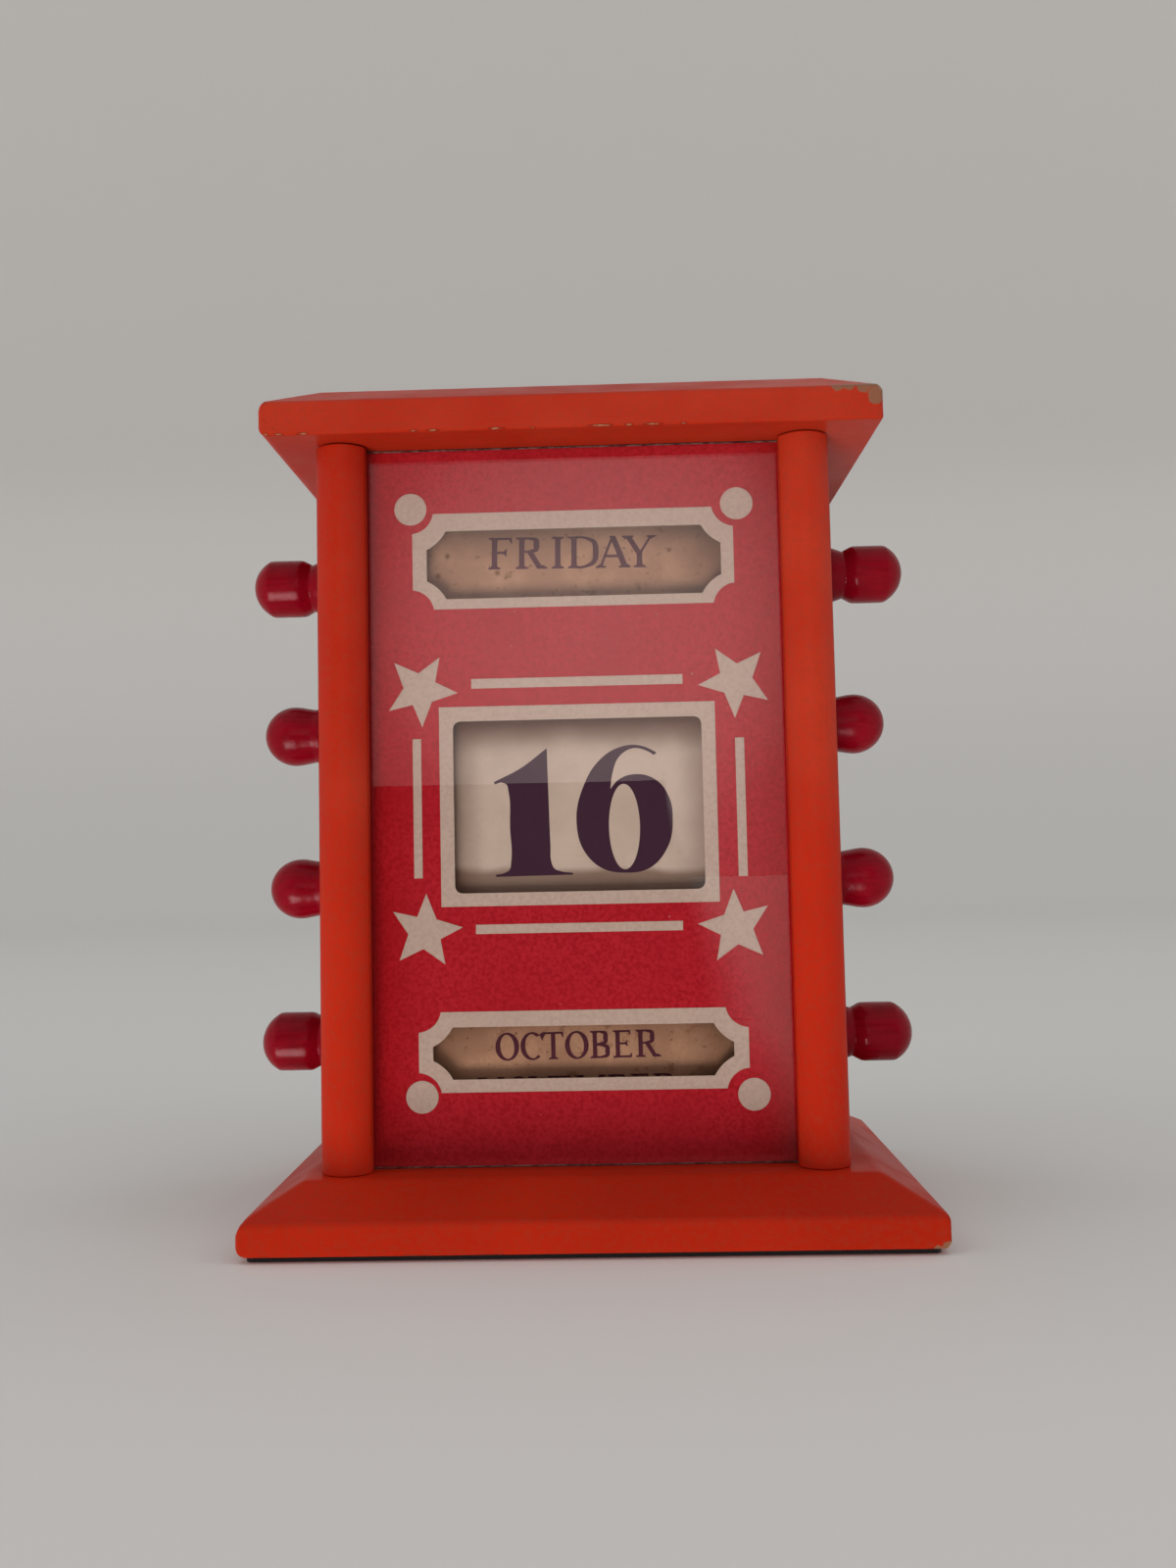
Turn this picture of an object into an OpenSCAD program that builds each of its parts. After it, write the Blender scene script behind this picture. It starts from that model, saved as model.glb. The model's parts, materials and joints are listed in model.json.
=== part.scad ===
// Perpetual desk calendar: a small painted cabinet with two name drums and two date rollers.
// Millimetres, +Z up, front towards -Y, origin on the resting face under the body's middle.

/* [Body] */
// Width over the two columns
body_w = 100; // [92:1:120]
// Depth from the columns' fronts to the outside of the back panel
body_d = 53; // [48:1:64]
// Height between the base board and the cap board
body_h = 140.5; // [136:0.5:160]

/* [Base board] */
// Thickness of the base board
base_t = 11; // [9:0.5:16]
// Height of the upright edge below the bevel of the base board
base_edge_h = 5.8; // [3:0.2:8]
// Width of the bevel on the base board
base_bevel_w = 9.8; // [6:0.2:11]
// How far the base board stands out past each column
base_side_overhang = 13.5; // [12:0.5:20]
// How far the base board stands out past the body at the front and back
base_front_overhang = 11.5; // [10:0.5:18]
// How far the base board sits to the right of the body's middle
base_shift = 1.2; // [-2:0.1:2]
// Thickness of the felt under the base board
felt_t = 1; // [0.6:0.1:3]
// How far the felt lies inside the edge of the base board
felt_inset = 1.5; // [0.5:0.5:6]

/* [Cap board] */
// Thickness of the cap board
cap_t = 12; // [10:0.5:16]
// Height of the upright edge below the bevel of the cap board
cap_edge_h = 6.5; // [3:0.5:9]
// Width of the bevel on the cap board
cap_bevel_w = 9.8; // [6:0.2:14]
// How far the cap board stands out past each column
cap_side_overhang = 9.5; // [5:0.5:16]
// How far the cap board stands out past the body at the front and back
cap_front_overhang = 4.5; // [2:0.5:10]
// Radius on the upright corners of both boards
corner_r = 1.2; // [0.5:0.1:3]

/* [Columns and panels] */
// Width of a column
column_w = 9.6; // [8.6:0.2:12]
// Depth of a column from its rounded front to its flat back
column_d = 6.7; // [6.2:0.1:10]
// How far the rounded front of a column bulges
column_bulge = 2.7; // [1:0.1:3.4]
// How far a side panel lies inside the outer face of its column
panel_inset = 1.1; // [0.2:0.1:1.5]
// How far a side panel lies outside the inner edge of its column
panel_setback = 1.1; // [0.5:0.1:1.8]
// Thickness of the back panel
back_t = 3; // [2:0.5:5]

/* [Glass and card] */
// Thickness of the glass pane
glass_t = 1.6; // [1:0.1:2]
// Thickness of the face card
card_t = 0.4; // [0.3:0.1:0.8]
// Width of the rebate in a column that holds the glass and the card
rebate_w = 3; // [2.4:0.2:4]
// Gap at each side of the glass and the card in its rebate
pane_side_gap = 0.2; // [0.1:0.1:0.5]
// Gap between the top of the glass and the cap board
pane_top_gap = 0.4; // [0.2:0.1:1]

/* [Windows] */
// Width of the weekday and month windows
name_window_w = 58; // [48:1:66]
// Height of the weekday window
weekday_window_h = 13.6; // [11:0.2:18]
// How far the middle of the weekday window lies below its axle
weekday_window_drop = 0.4; // [0:0.1:1]
// Height of the month window
month_window_h = 10; // [9:0.2:14]
// Radius of the concave notch at each corner of a name window
notch_r = 8; // [7:0.1:8.4]
// Width of the date window
date_window_w = 48.6; // [40:0.2:56]
// Height of the date window
date_window_h = 33.6; // [28:0.2:36]
// Corner radius of the date window
date_window_r = 1.5; // [0.5:0.1:3]

/* [Drums] */
// Distance of the weekday axle below the cap board
weekday_drop = 23; // [21.5:0.5:26]
// Height of the month axle above the base board
month_h = 21.7; // [18:0.1:25]
// Diameter of the wooden drums
drum_d = 32.4; // [28:0.2:34]
// Thickness of the printed paper band round a drum
band_t = 0.3; // [0.2:0.1:0.6]
// How far a paper band reaches past its window at each side
band_margin = 5; // [2:0.5:8]
// Gap between the face card and the front of a drum
drum_gap = 2; // [0.6:0.1:4]
// Diameter of the axles and of the roller journals
axle_d = 6; // [4:0.5:7]
// Radial running clearance of an axle in its side panel
bearing_gap = 0.08; // [0.03:0.01:0.1]
// Gap between a drum or roller and the side panel
drum_end_gap = 1.5; // [1.2:0.1:3]

/* [Date rollers] */
// How far the middle of the date window lies below the middle of the body
date_drop = 1; // [-2:0.2:4]
// Distance between the axes of the two date rollers
date_roller_spacing = 31; // [28:0.5:33]
// Diameter of the bare date rollers
roller_d = 10; // [8:0.5:11.5]
// Diameter of each wound paper roll
roll_d = 12.6; // [12:0.2:16]
// Thickness of the flat span of paper
web_t = 0.25; // [0.2:0.05:0.5]
// Gap between the flat span of paper and the rolls it leaves
web_gap = 0.3; // [0.2:0.05:0.5]
// How far the flat span of paper lies behind the face card
web_setback = 1.8; // [0.8:0.1:3]
// How far the date paper reaches past its window at each side
paper_margin = 4; // [2:0.5:8]
// Angle by which the paper span follows each roll
web_wrap = 55; // [20:5:80]

/* [Knobs] */
// Diameter of all knobs
knob_d = 12; // [10.5:0.5:16]
// Gap between a knob and its side panel with the shaft in the middle
knob_gap = 1.8; // [1.5:0.1:3]
// How much nearer to the side panels the month knobs are pushed on
month_knob_press = 1.2; // [0:0.1:1.2]
// Length of a drum knob
drum_knob_l = 18; // [15:0.5:24]
// Length of the collar at the inner end of a drum knob
collar_l = 3.2; // [2:0.2:4]
// Width of the groove turned in a drum knob
groove_w = 5.2; // [3:0.2:6]
// Depth of the groove turned in a drum knob
groove_depth = 1; // [0.5:0.1:1.5]
// Height of the domed end of a drum knob
dome_h = 3.9; // [2:0.1:5]
// Length of a date knob
date_knob_l = 12; // [10:0.5:16]
// Distance from the tip of a date knob to its widest place
egg_tip_l = 6.4; // [5:0.2:8]
// Depth of the socket in a drum knob
drum_socket_l = 9; // [6:0.5:10]
// Depth of the socket in a date knob
date_socket_l = 7; // [5:0.5:7.5]
// Sideways play taken up by the upper date roller
upper_shift = -1; // [-1:0.1:1]
// Sideways play taken up by the lower date roller
lower_shift = -0.1; // [-1:0.1:1]

/* [Fixings] */
// Diameter of the wooden dowels between the cap board and the side panels
dowel_d = 5; // [4:0.5:6]
// Depth of each dowel in the cap board and in the side panel
dowel_depth = 7; // [5:0.5:8]
// Distance of the dowels and base screws from the ends of a side panel
fixing_inset = 8; // [6:0.5:12]
// Shank diameter of the base screws
screw_d = 3.2; // [2.5:0.1:4]
// Length of the base screws
screw_l = 25; // [20:1:28]
// Shank diameter of the nails in the back panel
nail_d = 1.2; // [1:0.1:2]
// Length of the nails below their heads
nail_l = 13; // [9:1:16]
// Distance of the outer nails from the base board and the cap board
nail_inset = 18; // [16:1:24]

/* [Hidden] */

$fn = 64;
eps = 0.01;               // overshoot of a cut past the face it leaves
fixing_gap = 0.05;        // radial gap of dowels, screws and nails in their holes
screw_head_d = 2 * screw_d;
screw_head_h = screw_d / 2;
screw_point_l = screw_d;
nail_head_d = 2.4 * nail_d;
nail_head_h = 0.5;
notch_out_x = 3.3;        // centre of a corner notch outside the window's side
notch_out_z = 3.65;       // centre of a corner notch outside the window's top or bottom
egg_back_l = 8.4;         // half length of the inner half of a date knob's egg
egg_steps = 12;           // chords in each half of a date knob's egg
date_collar_l = 1;        // length of the collar at the inner end of a date knob

paint = [0.80, 0.20, 0.07];
crimson = [0.42, 0.05, 0.08];
bare_wood = [0.78, 0.62, 0.42];
steel = [0.66, 0.66, 0.68];

// Heights
base_z = felt_t;
body_z = base_z + base_t;
cap_z = body_z + body_h;

// Depths, from the front to the back
front_y = -body_d / 2;
column_back_y = front_y + column_d;
card_y = column_back_y - card_t;
glass_y = card_y - glass_t;
back_panel_y = body_d / 2 - back_t;

// Widths, from the middle to the right
column_in_x = body_w / 2 - column_w;
column_mid_x = body_w / 2 - column_w / 2;
panel_in_x = column_in_x + panel_setback;
panel_out_x = body_w / 2 - panel_inset;
panel_mid_x = (panel_in_x + panel_out_x) / 2;
pane_w = 2 * (column_in_x + rebate_w - pane_side_gap);
pane_h = body_h - pane_top_gap;
column_r = (pow(column_w / 2, 2) + pow(column_bulge, 2)) / (2 * column_bulge);

// Heights of the window middles and drum axles above the base board
weekday_h = body_h - weekday_drop;
date_h = body_h / 2 - date_drop;

// Axes of the drums and rollers
band_r = drum_d / 2 + band_t;
drum_y = column_back_y + drum_gap + band_r;
date_y = column_back_y + web_setback + web_t + web_gap + roll_d / 2;
weekday_z = body_z + weekday_h;
month_z = body_z + month_h;
date_z = body_z + date_h;
upper_z = date_z + date_roller_spacing / 2;
lower_z = date_z - date_roller_spacing / 2;
drum_l = 2 * (panel_in_x - drum_end_gap);
band_w = name_window_w + 2 * band_margin;
paper_w = date_window_w + 2 * paper_margin;
knob_x = panel_out_x + knob_gap;

// Places of the fixings
fixing_ys = [column_back_y + fixing_inset, back_panel_y - fixing_inset];
nail_zs = [body_z + nail_inset, body_z + body_h / 2, cap_z - nail_inset];

// ---------- shapes that repeat ----------

// A rectangle in the XY plane with round corners, centred on the origin
module rounded_rect(w, d, r) {
    square([w - 2 * r, d], center = true);
    square([w, d - 2 * r], center = true);
    for (sx = [-1, 1], sy = [-1, 1])
        translate([sx * (w / 2 - r), sy * (d / 2 - r)]) circle(r);
}

// End view of a bevelled board of width w
module board_profile(w, t, edge_h, bevel_w) {
    polygon([
        [-w / 2, 0], [w / 2, 0], [w / 2, edge_h],
        [w / 2 - bevel_w, t], [bevel_w - w / 2, t], [-w / 2, edge_h],
    ]);
}

// A board with a bevel on all four top edges, standing on z = 0
module bevelled_board(w, d, t, edge_h, bevel_w) {
    intersection() {
        rotate([90, 0, 0])
            linear_extrude(d, center = true) board_profile(w, t, edge_h, bevel_w);
        rotate([90, 0, 90])
            linear_extrude(w, center = true) board_profile(d, t, edge_h, bevel_w);
        linear_extrude(t) rounded_rect(w, d, corner_r);
    }
}

// Lays the axis of a turned piece along +X
module along_x() {
    rotate([0, 90, 0]) children();
}

// A round bar along X, centred on x
module x_bar(d, l, x, y, z) {
    translate([x, y, z]) along_x() cylinder(d = d, h = l, center = true);
}

// A tube along X, centred on x
module x_tube(d_out, d_in, l, x, y, z) {
    translate([x, y, z]) along_x() difference() {
        cylinder(d = d_out, h = l, center = true);
        cylinder(d = d_in, h = l + 2 * eps, center = true);
    }
}

// Mirrors a right-hand piece to the side given by -1 or 1
module on_side(side) {
    mirror([side < 0 ? 1 : 0, 0, 0]) children();
}

// ---------- cabinet ----------

module base_felt() {
    color("black")
        translate([base_shift, 0, 0]) linear_extrude(felt_t)
            rounded_rect(
                body_w + 2 * (base_side_overhang - felt_inset),
                body_d + 2 * (base_front_overhang - felt_inset),
                corner_r
            );
}

module base_board() {
    color(paint) difference() {
        translate([base_shift, 0, base_z])
            bevelled_board(
                body_w + 2 * base_side_overhang, body_d + 2 * base_front_overhang,
                base_t, base_edge_h, base_bevel_w
            );
        for (side = [-1, 1], y = fixing_ys)
            translate([side * panel_mid_x, y, base_z]) screw_hole();
    }
}

// A countersunk hole for a base screw, its mouth at z = 0
module screw_hole() {
    translate([0, 0, -eps]) cylinder(d = screw_d + 2 * fixing_gap, h = screw_l + 1);
    translate([0, 0, -eps])
        cylinder(
            d1 = screw_head_d + 2 * (fixing_gap + eps), d2 = screw_d + 2 * fixing_gap,
            h = screw_head_h + eps
        );
}

// A countersunk wood screw with its head at z = 0
module screw() {
    cylinder(d1 = screw_head_d, d2 = screw_d, h = screw_head_h);
    translate([0, 0, screw_head_h])
        cylinder(d = screw_d, h = screw_l - screw_head_h - screw_point_l);
    translate([0, 0, screw_l - screw_point_l])
        cylinder(d1 = screw_d, d2 = screw_d / 4, h = screw_point_l);
}

module base_screws() {
    color(steel)
        for (side = [-1, 1], y = fixing_ys)
            translate([side * panel_mid_x, y, base_z]) screw();
}

// The right side panel: four bearings, blind dowel holes on top, screw and nail holes
module side_panel() {
    difference() {
        translate([panel_in_x, column_back_y, body_z])
            cube([panel_out_x - panel_in_x, back_panel_y - column_back_y, body_h]);
        for (axis = [[drum_y, weekday_z], [date_y, upper_z], [date_y, lower_z], [drum_y, month_z]])
            x_bar(axle_d + 2 * bearing_gap, column_w + 2, panel_mid_x, axis[0], axis[1]);
        for (y = fixing_ys) {
            translate([panel_mid_x, y, base_z]) screw_hole();
            translate([panel_mid_x, y, cap_z]) dowel_hole();
        }
        for (z = nail_zs)
            translate([panel_mid_x, body_d / 2, z]) nail_hole();
    }
}

module left_side_panel() {
    color(paint) on_side(-1) side_panel();
}

module right_side_panel() {
    color(paint) on_side(1) side_panel();
}

// The right column: a strip with a rounded front and a rebate for the glass and the card
module column() {
    translate([0, 0, body_z]) linear_extrude(body_h) difference() {
        intersection() {
            union() {
                translate([column_mid_x, front_y + column_r]) circle(column_r);
                translate([column_in_x, front_y + column_bulge])
                    square([column_w, column_d - column_bulge]);
            }
            translate([column_in_x, front_y]) square([column_w, column_d]);
        }
        translate([column_in_x - 1, glass_y]) square([rebate_w + 1, column_d]);
    }
}

module left_column() {
    color(paint) on_side(-1) column();
}

module right_column() {
    color(paint) on_side(1) column();
}

module back_panel() {
    color([0.45, 0.30, 0.18]) difference() {
        translate([-panel_out_x, back_panel_y, body_z]) cube([2 * panel_out_x, back_t, body_h]);
        for (side = [-1, 1], z = nail_zs)
            translate([side * panel_mid_x, body_d / 2, z]) nail_hole();
    }
}

// A hole for a nail that is driven in along -Y from y = 0
module nail_hole() {
    translate([0, eps, 0]) rotate([90, 0, 0])
        cylinder(d = nail_d + 2 * fixing_gap, h = nail_l + 2 * fixing_gap + eps);
}

// A flat-headed nail along -Y, the underside of its head at y = 0
module nail() {
    rotate([90, 0, 0]) cylinder(d = nail_d, h = nail_l);
    rotate([-90, 0, 0]) cylinder(d = nail_head_d, h = nail_head_h);
}

module back_nails() {
    color(steel)
        for (side = [-1, 1], z = nail_zs)
            translate([side * panel_mid_x, body_d / 2, z]) nail();
}

module cap_board() {
    color(paint) difference() {
        translate([0, 0, cap_z])
            bevelled_board(
                body_w + 2 * cap_side_overhang, body_d + 2 * cap_front_overhang,
                cap_t, cap_edge_h, cap_bevel_w
            );
        for (side = [-1, 1], y = fixing_ys)
            translate([side * panel_mid_x, y, cap_z]) dowel_hole();
    }
}

// A blind hole for a dowel on both sides of z = 0
module dowel_hole() {
    cylinder(d = dowel_d + 2 * fixing_gap, h = 2 * (dowel_depth + fixing_gap), center = true);
}

module cap_dowels() {
    color(bare_wood)
        for (side = [-1, 1], y = fixing_ys)
            translate([side * panel_mid_x, y, cap_z])
                cylinder(d = dowel_d, h = 2 * dowel_depth, center = true);
}

// ---------- glass, card and date paper ----------

module glass_pane() {
    color("lightcyan", 0.35)
        translate([-pane_w / 2, glass_y, body_z]) cube([pane_w, glass_t, pane_h]);
}

// A window with a concave notch at each corner, centred on the origin
module notched_window(w, h) {
    difference() {
        square([w, h], center = true);
        for (sx = [-1, 1], sz = [-1, 1])
            translate([sx * (w / 2 + notch_out_x), sz * (h / 2 + notch_out_z)]) circle(notch_r);
    }
}

module face_card() {
    color([0.62, 0.06, 0.11])
        translate([0, column_back_y, body_z]) rotate([90, 0, 0]) linear_extrude(card_t)
            difference() {
                translate([-pane_w / 2, 0]) square([pane_w, pane_h]);
                translate([0, weekday_h - weekday_window_drop])
                    notched_window(name_window_w, weekday_window_h);
                translate([0, date_h]) rounded_rect(date_window_w, date_window_h, date_window_r);
                translate([0, month_h]) notched_window(name_window_w, month_window_h);
            }
}

// Slice of a ring between the angles a0 and a1
module ring_slice(r_in, r_out, a0, a1) {
    reach = 2 * r_out;
    intersection() {
        difference() {
            circle(r_out);
            circle(r_in);
        }
        polygon([
            [0, 0],
            [reach * cos(a0), reach * sin(a0)],
            [reach * cos((a0 + a1) / 2), reach * sin((a0 + a1) / 2)],
            [reach * cos(a1), reach * sin(a1)],
        ]);
    }
}

// The paper between the two rolls: flat in the window, then bent over the front of each roll
module date_paper_span() {
    wrap_r = roll_d / 2 + web_gap;
    color("oldlace")
        translate([-paper_w / 2, 0, 0]) rotate([90, 0, 90]) linear_extrude(paper_w) {
            translate([date_y - wrap_r - web_t, lower_z]) square([web_t, date_roller_spacing]);
            translate([date_y, upper_z]) ring_slice(wrap_r, wrap_r + web_t, 180 - web_wrap, 180);
            translate([date_y, lower_z]) ring_slice(wrap_r, wrap_r + web_t, 180, 180 + web_wrap);
        }
}

// ---------- drums ----------

module drum(z) {
    color(bare_wood) x_tube(drum_d, axle_d, drum_l, 0, drum_y, z);
}

// An axle that ends in the sockets of its two knobs, each pushed on by the given length
module drum_axle(z, press) {
    color(bare_wood) x_bar(axle_d, 2 * (knob_x - press + drum_socket_l), 0, drum_y, z);
}

module drum_band(z) {
    color([0.66, 0.55, 0.44]) x_tube(2 * band_r, drum_d, band_w, 0, drum_y, z);
}

module weekday_drum() {
    drum(weekday_z);
}

module weekday_axle() {
    drum_axle(weekday_z, 0);
}

module weekday_band() {
    drum_band(weekday_z);
}

module month_drum() {
    drum(month_z);
}

module month_axle() {
    drum_axle(month_z, month_knob_press);
}

module month_band() {
    drum_band(month_z);
}

// ---------- date rollers ----------

// A roller with its ends turned down to journals that pass through the panels into the knobs
module date_roller(z, shift) {
    color(bare_wood) union() {
        x_bar(roller_d, drum_l, shift, date_y, z);
        x_bar(axle_d, 2 * (knob_x + date_socket_l), shift, date_y, z);
    }
}

module paper_roll(z) {
    color("oldlace") x_tube(roll_d, roller_d, paper_w, 0, date_y, z);
}

module upper_date_roller() {
    date_roller(upper_z, upper_shift);
}

module upper_paper_roll() {
    paper_roll(upper_z);
}

module lower_date_roller() {
    date_roller(lower_z, lower_shift);
}

module lower_paper_roll() {
    paper_roll(lower_z);
}

// ---------- knobs ----------

// Half outline of a drum knob: collar, turned groove, barrel and domed end
module drum_knob_outline() {
    r = knob_d / 2;
    waist_r = r - groove_depth;
    barrel_l = drum_knob_l - dome_h;
    dome_r = (r * r + dome_h * dome_h) / (2 * dome_h);
    polygon([
        [0, 0], [r, 0], [r, collar_l], [waist_r, collar_l + groove_w / 2],
        [r, collar_l + groove_w], [r, barrel_l], [0, barrel_l],
    ]);
    intersection() {
        translate([0, drum_knob_l - dome_r]) circle(dome_r);
        translate([0, barrel_l]) square([r, dome_h + 1]);
    }
}

module drum_knob(side, z, press) {
    color(crimson) on_side(side)
        translate([knob_x - press, drum_y, z]) along_x() difference() {
            rotate_extrude() drum_knob_outline();
            translate([0, 0, -eps]) cylinder(d = axle_d, h = drum_socket_l + eps);
        }
}

// Radius of a date knob's egg at the distance u before (negative) or past its widest place
function egg_radius(u, half_l) = knob_d / 2 * sqrt(1 - pow(u / half_l, 2));

// Half outline of a date knob: a short collar and an egg
module date_knob_outline() {
    wide_z = date_knob_l - egg_tip_l;
    back_span = wide_z - date_collar_l;
    waist_r = egg_radius(back_span, egg_back_l);
    polygon(concat(
        [[0, 0], [waist_r, 0], [waist_r, date_collar_l]],
        [for (i = [1 : egg_steps - 1])
            let (u = back_span * (1 - i / egg_steps)) [egg_radius(u, egg_back_l), wide_z - u]],
        [for (i = [0 : egg_steps])
            let (a = 90 * i / egg_steps) [knob_d / 2 * cos(a), wide_z + egg_tip_l * sin(a)]]
    ));
}

module date_knob(side, z, shift) {
    color(crimson)
        translate([shift, 0, 0]) on_side(side)
            translate([knob_x, date_y, z]) along_x() difference() {
                rotate_extrude() date_knob_outline();
                translate([0, 0, -eps]) cylinder(d = axle_d, h = date_socket_l + eps);
            }
}

module weekday_knob_left() {
    drum_knob(-1, weekday_z, 0);
}

module weekday_knob_right() {
    drum_knob(1, weekday_z, 0);
}

module month_knob_left() {
    drum_knob(-1, month_z, month_knob_press);
}

module month_knob_right() {
    drum_knob(1, month_z, month_knob_press);
}

module upper_date_knob_left() {
    date_knob(-1, upper_z, upper_shift);
}

module upper_date_knob_right() {
    date_knob(1, upper_z, upper_shift);
}

module lower_date_knob_left() {
    date_knob(-1, lower_z, lower_shift);
}

module lower_date_knob_right() {
    date_knob(1, lower_z, lower_shift);
}

base_felt();
base_board();
base_screws();
left_side_panel();
right_side_panel();
left_column();
right_column();
glass_pane();
face_card();
back_panel();
back_nails();
cap_board();
cap_dowels();
date_paper_span();
weekday_drum();
weekday_axle();
weekday_band();
weekday_knob_left();
weekday_knob_right();
month_drum();
month_axle();
month_band();
month_knob_left();
month_knob_right();
upper_date_roller();
upper_paper_roll();
upper_date_knob_left();
upper_date_knob_right();
lower_date_roller();
lower_paper_roll();
lower_date_knob_left();
lower_date_knob_right();
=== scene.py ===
"""Looks of the perpetual desk calendar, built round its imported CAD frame.

The calendar's lengths are in millimetres up to the point where a mesh is stored. Noise scales, lamps,
the stage and the room card are in metres, as Blender is.
"""
import json
import math

import bmesh
import bpy
from mathutils import Matrix, Vector, noise

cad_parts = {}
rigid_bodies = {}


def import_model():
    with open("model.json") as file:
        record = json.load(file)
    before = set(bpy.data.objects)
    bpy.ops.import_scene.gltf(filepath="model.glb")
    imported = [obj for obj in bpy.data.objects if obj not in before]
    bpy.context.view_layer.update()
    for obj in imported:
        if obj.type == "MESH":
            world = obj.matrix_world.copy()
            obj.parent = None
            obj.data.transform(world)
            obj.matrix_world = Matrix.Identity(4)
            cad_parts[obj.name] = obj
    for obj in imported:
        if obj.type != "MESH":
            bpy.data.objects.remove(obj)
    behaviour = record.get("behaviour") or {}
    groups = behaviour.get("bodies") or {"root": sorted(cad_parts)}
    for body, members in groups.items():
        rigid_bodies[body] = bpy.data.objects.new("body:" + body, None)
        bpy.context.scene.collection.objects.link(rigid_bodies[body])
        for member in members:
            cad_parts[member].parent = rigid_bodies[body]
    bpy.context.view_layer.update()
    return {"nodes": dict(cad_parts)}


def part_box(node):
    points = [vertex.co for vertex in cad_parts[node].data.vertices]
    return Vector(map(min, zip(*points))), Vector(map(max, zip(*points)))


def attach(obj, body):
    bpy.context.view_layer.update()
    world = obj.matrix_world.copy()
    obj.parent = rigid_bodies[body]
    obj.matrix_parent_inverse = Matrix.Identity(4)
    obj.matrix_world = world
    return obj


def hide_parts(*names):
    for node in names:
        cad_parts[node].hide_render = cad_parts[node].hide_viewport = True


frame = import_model()
MM = 0.001


# ---------- places, read from the frame ----------

def box_mm(node):
    """Lowest and highest corner of a CAD node, in millimetres."""
    low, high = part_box(node)
    return low / MM, high / MM


def axis_of(node):
    """Middle of a turned node's box, which lies on its axis."""
    low, high = box_mm(node)
    return (low + high) / 2


BASE_LOW, BASE_HIGH = box_mm("base_board")
CAP_LOW, CAP_HIGH = box_mm("cap_board")
GLASS_LOW, GLASS_HIGH = box_mm("glass_pane")
CARD_LOW, CARD_HIGH = box_mm("face_card")
WEEKDAY_AXIS = axis_of("weekday_band")
MONTH_AXIS = axis_of("month_band")
UPPER_AXIS = axis_of("upper_paper_roll")
LOWER_AXIS = axis_of("lower_paper_roll")
DATE_MID_Z = (UPPER_AXIS.z + LOWER_AXIS.z) / 2
CARD_FRONT_Y = CARD_LOW.y
PAPER_FRONT_Y = box_mm("date_paper_span")[0].y


# ---------- colours, as linear light ----------

PAINT = (0.53, 0.0225, 0.0055)
# Painted reflection: the paler tint that the paint takes on its upper half, as if hazed by the bright room.
PAINT_SHEENED = (0.53, 0.040, 0.0145)
PAINT_DEEP = (0.46, 0.0185, 0.005)
PAINT_MOTTLE = (0.36, 0.042, 0.018)
PAINT_GRIME = (0.12, 0.012, 0.006)
WORN_WOOD = (0.42, 0.21, 0.11)
RUBBED_WOOD = (0.27, 0.125, 0.07)
CHIP_WOOD = (0.30, 0.13, 0.06)
KNOB_RED = (0.28, 0.002, 0.012)
KNOB_DARK = (0.17, 0.001, 0.006)
BARE_WOOD = (0.52, 0.34, 0.19)
BARE_WOOD_DARK = (0.34, 0.19, 0.09)
CARD_RED = (0.56, 0.0165, 0.029)
CARD_RED_DEEP = (0.42, 0.008, 0.016)
# Painted shade: the red card is multiplied by this toward its sides, where the columns shade it.
CARD_SIDE_SHADE = (0.86, 0.42, 0.42)
CARD_CORE = (0.32, 0.24, 0.18)
CREAM = (0.63, 0.435, 0.37)
CREAM_DULL = (0.56, 0.375, 0.315)
NAME_PAPER = (0.56, 0.285, 0.18)
NAME_PAPER_DULL = (0.42, 0.205, 0.13)
FOXING = (0.20, 0.075, 0.03)
# Painted shade: the brown that the papers are darkened toward inside their windows.
PAPER_SHADE = (0.13, 0.045, 0.022)
NAME_INK = (0.095, 0.022, 0.036)
DATE_PAPER = (0.69, 0.495, 0.415)
DATE_PAPER_DULL = (0.62, 0.44, 0.365)
DATE_INK = (0.062, 0.0225, 0.042)
# Painted shade: the pane's ground arris takes these dark tints for the shaded gap round the pane.
PANE_ARRIS_SHADED = (0.17, 0.09, 0.08)
PANE_ARRIS_SHADED_DEEP = (0.04, 0.012, 0.012)
HARDBOARD = (0.20, 0.10, 0.05)
HARDBOARD_DARK = (0.12, 0.055, 0.026)
FELT = (0.009, 0.008, 0.008)
STEEL = (0.55, 0.54, 0.52)
RUST = (0.22, 0.09, 0.04)
BACKDROP = (0.70, 0.69, 0.67)
BACKDROP_WALL = (0.95, 0.94, 0.91)
BACKDROP_BOUNCE = (0.41, 0.40, 0.38)
GLASS_TINT = (0.96, 0.985, 0.975)
GLASS_SHADOW = (0.95, 0.97, 0.96)
NEAR_BLACK = (0.004, 0.004, 0.004)
WHITE = (1, 1, 1)


# ---------- shader building ----------

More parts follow.
